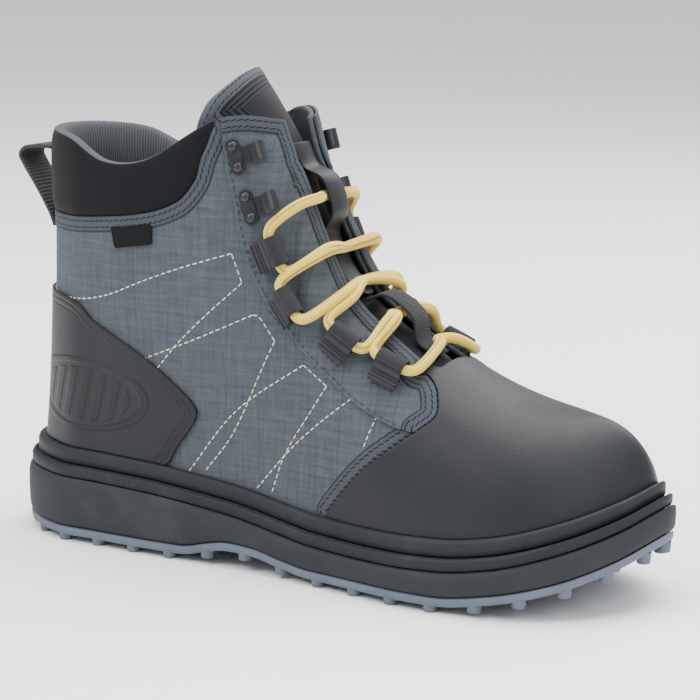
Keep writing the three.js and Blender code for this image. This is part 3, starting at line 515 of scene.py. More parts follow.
def trim(bm, keep):
    """Cuts the flat grid along keep = 0 and drops what lies outside."""
    worth = dict(zip(bm.verts, keep(*flat(bm))))
    for e in bm.edges:
        a, b = e.verts
        if worth[a] * worth[b] < 0:
            share = worth[a] / (worth[a] - worth[b])
            near = a if share < 0.3 else b if share > 0.7 else None
            if near:
                near.co = a.co.lerp(b.co, share)
                worth[near] = 0
    cut = [v for v in bm.verts if worth[v] == 0]
    for e in list(bm.edges):
        a, b = e.verts
        if worth[a] * worth[b] < 0:
            share = worth[a] / (worth[a] - worth[b])
            _, middle = bmesh.utils.edge_split(e, a, share)
            worth[middle] = 0
            cut.append(middle)
    bmesh.ops.connect_verts(bm, verts=cut)
    bmesh.ops.delete(bm, geom=[v for v in bm.verts if worth[v] < 0], context="VERTS")
    loose = [v for v in bm.verts if not v.link_faces]
    bmesh.ops.delete(bm, geom=loose, context="VERTS")


def lay(bm, place, cloth=None):
    """Moves each point of a flat grid to its place in millimetres, and keeps its cloth directions."""
    u, v = flat(bm)
    points = place(u, v)
    if cloth is not None:
        layer = bm.loops.layers.uv["cloth"]
        ways = dict(zip(bm.verts, np.stack(cloth(u, v), -1)))
        for face in bm.faces:
            for corner in face.loops:
                corner[layer].uv = ways[corner.vert]
    for vert, p in zip(bm.verts, points):
        vert.co = ((p[0] - heel_centre) / 1000, p[1] / 1000, p[2] / 1000)


def close_ends(bm):
    """Merges a tube's seam and fills its two open ends."""
    bmesh.ops.remove_doubles(bm, verts=bm.verts, dist=2e-6)
    open_edges = [e for e in bm.edges if len(e.link_faces) == 1]
    bmesh.ops.holes_fill(bm, edges=open_edges, sides=0)


def piece(name, bm, materials, replaces=(), angle=40, merge=2e-6, turn=True):
    """Closes a grid's seams and makes it a named piece of the boot."""
    bmesh.ops.remove_doubles(bm, verts=bm.verts, dist=merge)
    if turn:
        bmesh.ops.recalc_face_normals(bm, faces=bm.faces)
    for face in bm.faces:
        face.smooth = True
    for e in bm.edges:
        e.smooth = len(e.link_faces) != 2 or e.calc_face_angle(0) < math.radians(angle)
    data = bpy.data.meshes.new(name)
    bm.to_mesh(data)
    bm.free()
    made = bpy.data.objects.new(name, data)
    bpy.context.scene.collection.objects.link(made)
    for material in materials:
        data.materials.append(material)
    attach(made, "root")
    if replaces:
        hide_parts(*replaces)
    print(name, len(data.polygons), "faces")
    return made


def thicken(made, thickness, rounding=0.3, inner=0):
    """Gives a sheet its thickness inwards and softens its cut edges."""
    wall_of = made.modifiers.new("thickness", "SOLIDIFY")
    wall_of.thickness, wall_of.offset = thickness / 1000, -1
    wall_of.material_offset = inner
    if rounding:
        soft = made.modifiers.new("soft edge", "BEVEL")
        soft.width, soft.segments = rounding / 1000, 2
        soft.limit_method, soft.angle_limit = "ANGLE", math.radians(50)


print("helpers for grids are ready")

# %% [markdown]
# ## Shader maths in plain Python
# A socket wrapped in a small class can be added to, multiplied and compared, so that a pattern
# reads like a formula. Every operation adds one Math node.

# %% Shader maths
class Wire:
    """A socket that Python's operators work on."""

    def __init__(self, bench, socket):
        self.bench, self.socket = bench, socket

    def math(self, operation, *others):
        return self.bench.node("ShaderNodeMath", {"operation": operation}, {
            i: value for i, value in enumerate((self, *others))
        })

    def __add__(self, other):
        return self.math("ADD", other)

    def __sub__(self, other):
        return self.math("SUBTRACT", other)

    def __mul__(self, other):
        return self.math("MULTIPLY", other)

    def __truediv__(self, other):
        return self.math("DIVIDE", other)

    def __rsub__(self, other):
        return (self * -1) + other

    __radd__ = __add__
    __rmul__ = __mul__


class Bench:
    """One material's nodes."""

    def __init__(self, name, **even):
        self.material = bpy.data.materials.new(name)
        self.material.use_nodes = True
        self.nodes = self.material.node_tree.nodes
        self.links = self.material.node_tree.links
        self.shader = self.nodes["Principled BSDF"]
        for socket, value in even.items():
            self.shader.inputs[socket.replace("_", " ")].default_value = value

    def node(self, kind, settings, values, output=0):
        made = self.nodes.new(kind)
        for key, value in settings.items():
            setattr(made, key, value)
        for key, value in values.items():
            if isinstance(value, Wire):
                self.links.new(value.socket, made.inputs[key])
            else:
                made.inputs[key].default_value = value
        return Wire(self, made.outputs[output])

    def place(self):
        return self.node("ShaderNodeTexCoord", {}, {}, "Object")

    def cloth(self):
        return self.node("ShaderNodeUVMap", {"uv_map": "cloth"}, {}, "UV")

    def parts(self, vector):
        made = self.nodes.new("ShaderNodeSeparateXYZ")
        self.links.new(vector.socket, made.inputs[0])
        return [Wire(self, out) for out in made.outputs]

    def noise(self, scale, detail=3.0, vector=None):
        return self.node("ShaderNodeTexNoise", {}, {
            "Vector": vector or self.place(), "Scale": scale, "Detail": detail,
        }, "Fac")

    def value(self, name):
        return self.node("ShaderNodeAttribute", {"attribute_name": name}, {}, "Fac")

    def band(self, value, low, high, soft):
        """1 between low and high, 0 outside, with soft borders."""
        rise = self.node("ShaderNodeMapRange", {"interpolation_type": "SMOOTHSTEP"}, {
            0: value, 1: low - soft, 2: low + soft, 3: 0.0, 4: 1.0,
        })
        fall = self.node("ShaderNodeMapRange", {"interpolation_type": "SMOOTHSTEP"}, {
            0: value, 1: high - soft, 2: high + soft, 3: 1.0, 4: 0.0,
        })
        return rise * fall

    def mix(self, share, low, high):
        made = self.nodes.new("ShaderNodeMix")
        made.data_type = "RGBA"
        for key, value in ((0, share), (6, low), (7, high)):
            if isinstance(value, Wire):
                self.links.new(value.socket, made.inputs[key])
            elif key:
                made.inputs[key].default_value = (*value, 1)
            else:
                made.inputs[key].default_value = value
        return Wire(self, made.outputs[2])

    def finish(self, colour, roughness=None, height=None, distance=0.0003, strength=0.6):
        self.links.new(colour.socket, self.shader.inputs["Base Color"])
        if roughness is not None:
            self.links.new(roughness.socket, self.shader.inputs["Roughness"])
        if height is not None:
            bump = self.node("ShaderNodeBump", {}, {
                "Height": height, "Distance": distance, "Strength": strength,
            }, "Normal")
            self.links.new(bump.socket, self.shader.inputs["Normal"])
        return self.material


print("shader maths is ready")

# %% [markdown]
# ## Finishes of the sole
# The tread is slate rubber with a fine stipple. The midsole is charcoal foam, and rougher.
# Rand and welt are darker rubber with a fine grain.

# %% Sole finishes
def plain_rubber(name, colour, grain, rough=0.6, dust=(0.2, 0.21, 0.22), dusty=0.04):
    b = Bench(name, Specular_IOR_Level=0.2)
    coarse, fine = b.noise(60, 4), b.noise(grain, 3)
    tone = b.mix(coarse.math("MULTIPLY_ADD", 1.6, -0.3), colour, tuple(c * 1.35 for c in colour))
    worn = b.band(b.noise(25, 5), 0.62, 1.2, 0.06) * dusty
    return b.finish(b.mix(worn, tone, dust), fine * 0.25 + (rough - 0.12), fine + coarse * 0.5,
                    0.0003, 0.5)


tread_rubber = plain_rubber("slate rubber", (0.085, 0.102, 0.13), 900, 0.62)
foam = plain_rubber("charcoal foam", (0.0165, 0.0185, 0.0215), 1500, 0.7)
band_rubber = plain_rubber("dark rubber", (0.012, 0.0135, 0.016), 1100, 0.6)
welt_rubber = plain_rubber("welt rubber", (0.011, 0.0125, 0.0145), 1300, 0.62)
floor_finish = Bench("pale floor", Roughness=0.75)
floor_finish.shader.inputs["Base Color"].default_value = (0.9, 0.905, 0.91, 1)
floor_data.materials.append(floor_finish.material)
print("rubber and foam are ready")

# %% [markdown]
# ## Sole pieces
# A slab has a cap at each end and a side that swells a little. The caps are grids from one side of
# the boot to the other, and the side is a grid that runs round.

# %% Slabs and rings
def cap(bm, count, across, inset, height, down):
    """Adds a cap of the sole's outline to bm, laid from side to side."""
    part = grid(count // 2, across)
    u, w = flat(part)
    s = np.round(u * (count // 2)) / count
    a, b = edge(s, inset), edge(1 - s, inset)
    p = a + (b - a) * w[:, None]
    p[:, 2] = height(p[:, 0])
    for vert, q in zip(part.verts, p):
        vert.co = ((q[0] - heel_centre) / 1000, q[1] / 1000, q[2] / 1000)
    if down:
        bmesh.ops.reverse_faces(part, faces=part.faces)
    join(bm, part)


def join(bm, part):
    """Adds a second mesh to the first."""
    data = bpy.data.meshes.new("part")
    part.to_mesh(data)
    part.free()
    bm.from_mesh(data)
    bpy.data.meshes.remove(data)


def slab(levels, count=280, across=16):
    """levels: (inset, height function) from the bottom to the top."""
    bm = grid(count, len(levels) - 1)
    insets = np.array([inset for inset, _ in levels])

    def place(u, v):
        k = np.round(v * (len(levels) - 1)).astype(int)
        p = edge(u, insets[k])
        heights = np.stack([height(p[:, 0]) for _, height in levels], -1)
        p[:, 2] = heights[np.arange(len(k)), k]
        return p

    lay(bm, place, lambda u, v: (u * 0.75, v))
    cap(bm, count, across, levels[0][0], levels[0][1], True)
    cap(bm, count, across, levels[-1][0], levels[-1][1], False)
    return bm


def plate_bottom(x):
    return tread(x) + stud_height


def midsole_bottom(x):
    return plate_bottom(x) + plate_thickness + gap


midsole_rows = [
    (2.4, 0), (1.2, 0.03), (0.55, 0.09), (0.3, 0.2), (0.1, 0.5), (0.2, 0.82), (0.7, 0.93), (2, 1),
]
piece("foam_midsole", slab([
    (inset, lambda x, share=share: midsole_bottom(x) + (sole_top(x) - midsole_bottom(x)) * share)
    for inset, share in midsole_rows
]), [foam], ["midsole"])

# %% [markdown]
# The tread is a plate with round studs. Large and small ones alternate on a six-sided grid, and a
# row of small ones follows the edge, where they show as teeth from the side.

# %% Tread
def within(x, y, inset):
    line = edge(np.arange(84) / 84, inset)
    a, b = line, np.roll(line, -1, 0)
    rises = (a[:, 1] > y) != (b[:, 1] > y)
    rise = np.where(b[:, 1] == a[:, 1], 1e-9, b[:, 1] - a[:, 1])
    reach = a[:, 0] + (b[:, 0] - a[:, 0]) * (y - a[:, 1]) / rise
    return (rises & (x < reach)).sum() % 2 == 1


def stud(bm, x, y, diameter, sides):
    """A round stud that stands out of the plate's underside."""
    sunk = 1.8
    height = stud_height + sunk
    low = float(tread(np.array([x]))[0])
    made = bmesh.ops.create_cone(
        bm, cap_ends=True, cap_tris=False, segments=sides, radius1=0.44 * diameter / 1000,
        radius2=diameter / 2000, depth=height / 1000,
        matrix=Matrix.Translation(((x - heel_centre) / 1000, y / 1000, (low + height / 2) / 1000)),
    )
    foot = [e for e in {e for v in made["verts"] for e in v.link_edges}
            if all(abs(v.co.z - low / 1000) < 1e-5 for v in e.verts)]
    bmesh.ops.bevel(bm, geom=foot, offset=0.0004, segments=2, profile=0.5, affect="EDGES", material=-1)


studs = []
row_pitch = stud_pitch * math.sin(math.pi / 3)
for row in range(-2, 3):
    for column in range(-2, 11):
        x = heel_centre + (column + (0 if row % 2 == 0 else 0.5)) * stud_pitch
        y = row * row_pitch
        for dx, dy, size in ((0, 0, large_stud), (stud_pitch / 2, row_pitch / 3, small_stud),
                             (stud_pitch / 2, -row_pitch / 3, small_stud)):
            if within(x + dx, y + dy, edge_stud_inset + small_stud / 2 + 1.5 + size / 2):
                studs.append((x + dx, y + dy, size))
line = edge(np.arange(2000) / 2000, 0)
run = lengths(np.vstack([line, line[:1]]))
teeth = round(run[-1] / edge_stud_pitch)
for k in range(teeth):
    t = np.interp(run[-1] * k / teeth, run, np.arange(2001) / 2000)
    x, y, _ = edge(np.array([t]), edge_stud_inset)[0]
    studs.append((x, y, small_stud))
tread_mesh = slab([
    (plate_inset + 0.9, plate_bottom), (plate_inset + 0.5, lambda x: plate_bottom(x) + 0.5),
    (plate_inset, lambda x: plate_bottom(x) + 1.2),
    (plate_inset, lambda x: plate_bottom(x) + plate_thickness - 0.4),
    (plate_inset + 0.5, lambda x: plate_bottom(x) + plate_thickness),
])
for x, y, size in studs:
    stud(tread_mesh, x, y, size, 28 if size == large_stud else 18)
piece("studded_tread", tread_mesh, [tread_rubber], ["outsole"])
print(len(studs), "studs")

# %% [markdown]
# Welt and rand are rings: a section is carried round the boot. A grid's two directions are the way
# round and the way along the section, and both close on themselves.

# %% Welt and rand
def ring(name, section, count, material, replaces):
    """section(t) gives the corners of the ring's section at t, in order."""
    rows = len(section(np.array([0.0]))[0])
    bm = grid(count, rows)

    def place(u, v):
        corners = section(u)
        k = np.round(v * rows).astype(int) % rows
        return corners[np.arange(len(u)), k]

    lay(bm, place, lambda u, v: (u * 0.75, v))
    print(name, "has", rows, "corners in its section")
    return piece(name, bm, [material], replaces, angle=50)


def welt_section(t):
    inner = upper_inset - 2 * gap
    rows = [(welt_inset + 0.6, 0), (welt_inset, 0.12), (welt_inset, 0.75), (welt_inset + 0.5, 0.95),
            (welt_inset + 1.2, 1), (welt_inset + 1.9, 1), (welt_inset + 2.3, 0.86),
            (welt_inset + 2.9, 0.86), (welt_inset + 3.3, 1), (inner, 1), (inner, 0)]
    corners = np.stack([edge(t, inset) for inset, _ in rows], 1)
    base = on_sole(corners[..., 0])
    corners[..., 2] = base + welt_thickness * np.array([share for _, share in rows])
    return corners


def rand_section(t):
    low = climb(t, lambda p: p[..., 2] - welt_top(p[..., 0]) - gap)
    high = climb(t, lambda p: p[..., 2] - rand_top(p[..., 0]))
    foot = 1.5 * gap
    outer = [(rand_inset + 0.5, 0), (rand_inset, 0.5), (rand_inset - 0.1, rand_height * 0.45),
             (rand_inset, rand_height - 1.9), (rand_inset + 0.35, rand_height - 0.9),
             (rand_inset + 1, rand_height - 0.2), (rand_inset + 1.8, rand_height)]
    corners = [edge(t, inset) for inset, _ in outer]
    corners += [on_form(t, high, foot), on_form(t, low, foot)]
    corners = np.stack(corners, 1)
    heights = np.array([h for _, h in outer] + [rand_height, 0])
    corners[..., 2] = welt_top(corners[..., 0]) + foot + heights
    return corners


ring("stitched_welt", welt_section, 320, welt_rubber, ["welt"])
ring("rubber_rand", rand_section, 320, band_rubber, ["rand"])

# %% [markdown]
# ## Finishes of the upper
# The quarters are a woven cloth with a ripstop grid, the vamp and counter a smooth coated sheet.
# Borders carry a bound strip with two rows of dark stitches. The distance from the border and the
# way along it are kept on each point, and the shader draws the strip and the stitches from them.

# %% Upper finishes
def weave(b, pitch, vector):
    """Height of a plain weave whose threads are pitch metres apart."""
    x, y, _ = b.parts(vector)
    warp = (x * (2 * math.pi / pitch)).math("SINE")
    weft = (y * (2 * math.pi / pitch)).math("SINE")
    return warp * weft


def ripstop(b, vector, pitch):
    """Lines of thicker threads every few millimetres both ways."""
    x, y, _ = b.parts(vector)
    lines = [(c / pitch).math("FRACT") for c in (x, y)]
    return lines[0].math("LESS_THAN", 0.13).math("MAXIMUM", lines[1].math("LESS_THAN", 0.15))


def bound(b, base, height, dark, binding=(0.046, 0.055, 0.066)):
    """Adds the bound strip and its two rows of stitches along the border."""
    away, along = b.value("away"), b.value("along")
    strip = b.band(away, -1.0, 6.2, 0.12)
    cord = b.band(away, 6.1, 6.9, 0.15)
    step = (along / 2.9).math("FRACT")
    dash = b.band(step, 0.14, 0.86, 0.06)
    slant = (step - 0.5) * 0.7
    rows = b.band(away + slant, 1.5, 2.1, 0.12) + b.band(away + slant, 4.3, 4.9, 0.12)
    stitch = rows * dash
    holes = (rows * b.band(step, 0.0, 0.12, 0.05)).math("MINIMUM", 1)
    colour = b.mix(strip, base, binding)
    colour = b.mix(cord * 0.75, colour, dark)
    colour = b.mix(stitch, colour, tuple(c * 0.25 for c in binding))
    colour = b.mix(holes, colour, (0.004, 0.004, 0.005))
    return colour, height + stitch * 1.6 - cord * 2.5 - holes * 2


def fabric(name, colour):
    b = Bench(name, Specular_IOR_Level=0.12, Sheen_Weight=0.05, Sheen_Roughness=0.5)
    x, _, z = b.parts(b.place())
    side = b.node("ShaderNodeCombineXYZ", {}, {0: x, 1: z, 2: 0.0})
    fine = weave(b, 0.0009, side)
    grid_lines = ripstop(b, side, 0.0042)
    across, lengthwise = (60, 60, 700), (700, 60, 60)
    slub, cross = (
        b.noise(1.0, 2.0, b.node("ShaderNodeVectorMath", {"operation": "MULTIPLY"}, {0: b.place(), 1: way}))
        for way in (across, lengthwise)
    )
    shade = (slub + cross) * 0.9 + fine * 0.12 - grid_lines * 0.14 - 0.35
    tone = b.mix(shade, tuple(c * 0.6 for c in colour), tuple(c * 1.3 for c in colour))
    height = fine * 0.5 + slub * 0.6 + cross * 0.6 - grid_lines * 0.4
    tone, height = bound(b, tone, height, (0.008, 0.009, 0.011))
    return b.finish(tone, b.noise(400) * 0.2 + 0.72, height, 0.00025, 0.7)


def coated(name, colour, edge_rows=(), moulded=False):
    b = Bench(name, Specular_IOR_Level=0.25)
    pebble = b.node("ShaderNodeTexVoronoi", {"feature": "SMOOTH_F1"}, {
        "Vector": b.place(), "Scale": 1500.0,
    }, "Distance")
    broad, fine = b.noise(35, 4), b.noise(1200, 2)
    tone = b.mix(broad, tuple(c * 0.85 for c in colour), tuple(c * 1.2 for c in colour))
    height = pebble * 0.5 + fine * 0.4
    if edge_rows:
        away, along = b.value("away"), b.value("along")
        groove = 0
        for at in edge_rows:
            groove = b.band(away, at - 0.4, at + 0.4, 0.25) + groove
        dash = b.band((along / 3.1).math("FRACT"), 0.15, 0.85, 0.08)
        middle = sum(edge_rows) / len(edge_rows)
        thread = b.band(away, middle - 0.35, middle + 0.35, 0.15) * dash
        tone = b.mix(groove * 0.7 + thread * 0.6, tone, (0.006, 0.006, 0.007))
        height = height - groove * 5 + thread * 3
    if moulded:
        x, _, z = b.parts(b.place())
        wide, high = (x - 0.006) / 0.036, (z - 0.068) / 0.0155
        oval = wide * wide + high * high
        bars = b.band(((x - z * 0.3) / 0.0085).math("FRACT"), 0.22, 0.78, 0.1)
        inside = b.band(oval, -1.0, 0.62, 0.03)
        raised = bars * inside + b.band(oval, 0.86, 1.14, 0.05)
        height = height + raised * 7
        tone = b.mix(raised * 0.35, tone, tuple(c * 0.45 for c in colour))
    return b.finish(tone, broad * 0.18 + fine * 0.1 + 0.36, height, 0.00022, 0.45)


quarter_cloth = fabric("grey ripstop", (0.06, 0.072, 0.084))
vamp_sheet = coated("coated vamp", (0.0092, 0.0105, 0.0128))
counter_sheet = coated("counter sheet", (0.0078, 0.009, 0.0112), (2.2, 5.0), moulded=True)
strip_sheet = coated("tongue strip sheet", (0.011, 0.0115, 0.0135))
print("cloth and coated sheets are ready")

# %% [markdown]
# The lining is a soft knit with fine ribs, and the collar's outside is a matt black knit. Webbing
# has ribs across its length, and the lace is a braid.

# %% Linings, webbing and lace finishes
def knit(name, colour, pitch, depth=1.0):
    b = Bench(name, Specular_IOR_Level=0.12, Sheen_Weight=0.04, Sheen_Roughness=0.4)
    along = b.parts(b.cloth())[0]
    rib = (along * (2 * math.pi / pitch)).math("SINE") * depth
    fuzz = b.noise(900, 3)
    low, high = tuple(c * 0.5 for c in colour), tuple(c * 1.25 for c in colour)
    tone = b.mix(rib * 0.35 + fuzz * 0.5 + 0.2, low, high)
    return b.finish(tone, fuzz * 0.15 + 0.75, rib * 0.8 + fuzz, 0.0003, 0.6)


def ribbed(name, colour, pitch=1.1, across=True):
    """Webbing: ribs across its length, in the piece's own millimetres."""
    b = Bench(name, Specular_IOR_Level=0.15, Sheen_Weight=0.05)
    u, v, _ = b.parts(b.cloth())
    way, other = (u, v) if across else (v, u)
    rib = (way * (2 * math.pi / pitch)).math("SINE")
    thread = (other * (2 * math.pi / 0.6)).math("SINE")
    fuzz = b.noise(1300, 2)
    low = tuple(c * 0.35 for c in colour)
    tone = b.mix(rib * 0.4 + thread * 0.12 + fuzz * 0.4 + 0.3, low, colour)
    return b.finish(tone, fuzz * 0.1 + 0.68, rib + thread * 0.3, 0.0003, 0.8)


def braid(name, colour):
    b = Bench(name, Specular_IOR_Level=0.3, Sheen_Weight=0.2, Sheen_Roughness=0.4)
    u, v, _ = b.parts(b.cloth())
    one = ((u * (1 / 1.5) + v * 5) * (2 * math.pi)).math("SINE")
    two = ((u * (1 / 1.5) - v * 5) * (2 * math.pi)).math("SINE")
    plait = one.math("MAXIMUM", two)
    stripe = b.band((v * 2).math("FRACT"), 0.44, 0.56, 0.03)
    fuzz = b.noise(1500, 2)
    low = tuple(c * f for c, f in zip(colour, (0.72, 0.68, 0.6)))
    tone = b.mix(plait * 0.35 + fuzz * 0.4 + 0.35, low, colour)
    tone = b.mix(stripe * 0.75, tone, tuple(c * f for c, f in zip(colour, (0.35, 0.3, 0.25))))
    return b.finish(tone, fuzz * 0.1 + 0.7, plait * 0.4 + fuzz * 0.2 - stripe * 0.8, 0.0002, 0.6)


black_knit = knit("black collar knit", (0.0058, 0.0064, 0.008), 0.5, 0.1)
lining_knit = knit("grey lining knit", (0.075, 0.08, 0.09), 2.2)
loop_webbing = ribbed("loop webbing", (0.037, 0.037, 0.044))
pull_webbing = ribbed("pull webbing", (0.055, 0.058, 0.066), 1.3)
yellow_braid = braid("yellow braid", (0.74, 0.53, 0.075))
hook_paint = Bench("black hook paint", Metallic=0.6, Specular_IOR_Level=0.6)
worn = hook_paint.noise(300, 4)
hook_paint.finish(hook_paint.mix(worn, (0.012, 0.013, 0.015), (0.035, 0.037, 0.04)), worn * 0.2 + 0.22)
thread_paint = Bench("cream thread", Roughness=0.7)
thread_paint.finish(thread_paint.mix(thread_paint.noise(2500), (0.42, 0.38, 0.28), (0.78, 0.74, 0.62)))
dark_thread = Bench("dark thread", Roughness=0.7)
dark_thread.finish(dark_thread.mix(dark_thread.noise(2500), (0.01, 0.011, 0.012), (0.03, 0.031, 0.034)))


def tongue_finish():
    """Bound edge, dark ribbed band and black panel, by the distance from the tongue's edges."""
    b = Bench("tongue panels", Specular_IOR_Level=0.15, Sheen_Weight=0.05)
    from_top, from_side, _ = b.parts(b.cloth())
    away = from_top.math("MINIMUM", from_side)
    ribs = (away * (2 * math.pi / 2.4)).math("SINE")
    grain = b.noise(700, 3)
    edge_zone, rib_zone = b.band(away, -1.0, 7.5, 0.15), b.band(away, 8.2, 15.0, 0.2)
    dash = b.band(((from_top + from_side) / 2.6).math("FRACT"), 0.15, 0.85, 0.06)
    seam_rows = (b.band(away, 1.9, 2.5, 0.12) + b.band(away, 5.4, 6.0, 0.12)) * dash
    pipe = b.band(away, 7.4, 8.2, 0.1)
    tone = b.mix(grain, (0.0075, 0.0085, 0.01), (0.013, 0.0145, 0.017))
    tone = b.mix(rib_zone, tone, (0.012, 0.0135, 0.016))
    tone = b.mix(edge_zone, tone, (0.045, 0.053, 0.063))
    tone = b.mix(seam_rows + pipe, tone, (0.006, 0.0065, 0.0075))
    height = grain * 0.4 + ribs * rib_zone * 1.5 + edge_zone * 1.5 + seam_rows * 1.2 - pipe * 2.0
    return b.finish(tone, grain * 0.2 + 0.65, height, 0.0003, 0.7)


tongue_cloth = tongue_finish()
print("knits, webbing, braid, thread and tongue are ready")

# %% [markdown]
# ## Panels of the upper
# The whole upper is one sheet on the form, trimmed at the collar and the throat. Vamp, counter and
# eyestays are sheets of their own that lie a little above it. A tree of points along each border
# gives every point of a sheet its distance from it and its place along it.

# %% Panels
def chain_up(pairs):
    """Joins pairs of neighbours into lines."""
    near = {}
    for a, b in pairs:
        near.setdefault(a, []).append(b)
        near.setdefault(b, []).append(a)
    lines = []
    while near:
        here = next((v for v, n in near.items() if len(n) == 1), next(iter(near)))
        line_of = [here]
        while near.get(here):
            after = near[here].pop()
            near[after].remove(here)
            if not near[here]:
                del near[here]
            here = after
            line_of.append(here)
        near.pop(here, None)
        lines.append(line_of)
    return lines


def borders(bm, wanted):
    """The sheet's open edges where wanted holds, as lines of points in millimetres."""
    def spot(v):
        return np.array([v.co.x * 1000 + heel_centre, v.co.y * 1000, v.co.z * 1000])

    open_edges = [e for e in bm.edges if len(e.link_faces) == 1]
    middles = np.array([(spot(e.verts[0]) + spot(e.verts[1])) / 2 for e in open_edges])
    chosen = wanted(middles)
    chains = chain_up([e.verts[:] for e, take in zip(open_edges, chosen) if take])
    return [np.array([spot(v) for v in chain]) for chain in chains if len(chain) > 3]


def measure(made, lines):
    """Keeps each point's distance from the lines and its place along them."""
    marks, alongs = [], []
    for points in lines:
        run = lengths(points)
        at = np.arange(0, run[-1], 0.4)
        marks.append(np.stack([np.interp(at, run, points[:, k]) for k in range(3)], -1))
        alongs.append(at)
    marks, alongs = np.vstack(marks), np.concatenate(alongs)
    tree = kdtree.KDTree(len(marks))
    for k, p in enumerate(marks):
        tree.insert(p, k)
    tree.balance()
    away, along = [], []
    for vert in made.data.vertices:
        spot = (vert.co.x * 1000 + heel_centre, vert.co.y * 1000, vert.co.z * 1000)
        _, k, far = tree.find(spot)
        away.append(far)
        along.append(alongs[k])
    for name, values in (("away", away), ("along", along)):
        made.data.attributes.new(name, "FLOAT", "POINT").data.foreach_set("value", values)
    return np.array(away)


def raise_border(made, height, width):
    """Lifts the bound strip along the border a little."""
    away = np.zeros(len(made.data.vertices))
    made.data.attributes["away"].data.foreach_get("value", away)
    step = np.clip((width + 0.5 - away) / 1.0, 0, 1)
    step = step * step * (3 - 2 * step) * height / 1000
    normals = [v.normal.copy() for v in made.data.vertices]
    for vert, up, normal in zip(made.data.vertices, step, normals):
        vert.co += normal * up


def sheet(t0, t1, nt, nv, keep, offset, v0=0.0):
    """A trimmed sheet on the form between two ribs."""
    bm = grid(nt, nv)

    def rib(u):
        return t0 + (t1 - t0) * u

    def high(v):
        return v0 + (1 - v0) * v

    trim(bm, lambda u, v: keep(on_rib(rib(u), high(v))))
    lay(bm, lambda u, v: on_form(rib(u), high(v), offset), lambda u, v: (u, v))
    return bm


bm = sheet(0.24, 0.76, 300, 90, lambda p: np.minimum.reduce([
    in_vamp(p), out_of_throat(p), over_rand(p)]), gap + vamp_thickness)
bmesh.ops.remove_doubles(bm, verts=bm.verts, dist=2e-5)
vamp_lines = borders(bm, lambda p: np.abs(in_vamp(p)) < 1.2)
vamp = piece("coated_vamp", bm, [vamp_sheet], ["vamp"], turn=False)
thicken(vamp, vamp_thickness)

counter_lift = gap + counter_thickness
bm = sheet(-0.2, 0.2, 240, 80, lambda p: np.minimum(in_counter(p), over_rand(p)), counter_lift)
counter_lines = borders(bm, lambda p: np.abs(in_counter(p)) < 1.2)
counter = piece("heel_sheet", bm, [counter_sheet], ["heel_counter"], turn=False)
measure(counter, counter_lines)
thicken(counter, counter_thickness, 0.5)

# %% [markdown]
# The eyestays carry the bound strip along the throat and round their top corner. The quarters have
# it along the collar's lower edge and along the vamp.

# %% Eyestays and quarters
for side, name, t0, t1 in ((-1, "lateral", 0.12, 0.42), (1, "medial", 0.58, 0.88)):
    bm = sheet(t0, t1, 220, 90, lambda p: np.minimum.reduce([
        in_stay(p), -in_vamp(p) - 2 * gap, out_of_throat(p)]), gap + stay_thickness, 0.3)
    lines = borders(bm, lambda p: in_stay(p) > 1.5)
    stay = piece(f"eyestay_sheet_{name}", bm, [quarter_cloth], [f"eyestay_{name}"], turn=False)
    measure(stay, lines)
    raise_border(stay, 0.5, 6.2)
    thicken(stay, stay_thickness)

bm = sheet(0, 1, 420, 110, lambda p: np.minimum(out_of_throat(p), under_collar(p) - 2 * gap), 0)
collar_lines = borders(bm, lambda p: (np.abs(under_collar(p) - 2 * gap) < 1.5) & (p[:, 2] > 100))
cloths = [quarter_cloth, lining_knit]
quarters = piece("ripstop_quarters", bm, cloths, ["upper"], turn=False, merge=3e-5)
measure(quarters, collar_lines + vamp_lines)
raise_border(quarters, 0.5, 6.2)
thicken(quarters, wall, 0, 1)

# %% [markdown]
# ## Collar
# The collar is a foam pad with a black knit outside and a grey ribbed knit inside. Its section
# swells both ways between the lower edge and the rim, and it tapers out at the eyestays.

# %% Collar
samples = np.arange(0, 0.5, 0.001)
reach = samples[np.argmax(tops(samples)[:, 0] >= collar_end - 1)]
section = Closed([(a, b, 0) for a, b in (
    (0, 0), (0.2, 0.8), (0.75, 0.9), (0.98, 0.2), (0.97, -0.7), (0.7, -1), (0.3, -0.9), (0, -0.35),
)])
bm = grid(220, 48)


def on_collar(u, v):
    t = reach * (2 * u - 1)
    start = np.minimum(climb(t, lambda p: p[..., 2] - collar_edge(p[..., 0])), 0.985)
    full = np.minimum(1, (1 - start) * 6 + 0.12)
    p = section(v)
    swell = p[:, 1]
    offset = np.where(swell > 0, collar_out, collar_in) * swell * full
    return on_form(t, start + (1 - start) * p[:, 0], offset)


lay(bm, on_collar, lambda u, v: (u * 320, v * 60))
layer = bm.loops.layers.uv["cloth"]
for face in bm.faces:
    v_middle = sum(corner[layer].uv[1] for corner in face.loops) / len(face.loops) / 60
    face.material_index = 1 if 0.40 < v_middle < 0.985 else 0
close_ends(bm)
collar = piece("padded_collar", bm, [black_knit, lining_knit], ["collar"], angle=60)

# %% [markdown]
# ## Tongue
# The tongue is a padded flap. Its face follows a line through the throat, sags back at its edges
# and stands up behind the lacing.

# %% Tongue
tongue_line = Open([(x * sole_length, 0, z * shaft_height) for x, z, *_ in tongue_path])


def tongue_column(s, k):
    place = np.clip(s, 0, 1) * (len(tongue_path) - 1)
    return np.interp(place, np.arange(len(tongue_path)), tongue_path[:, k])


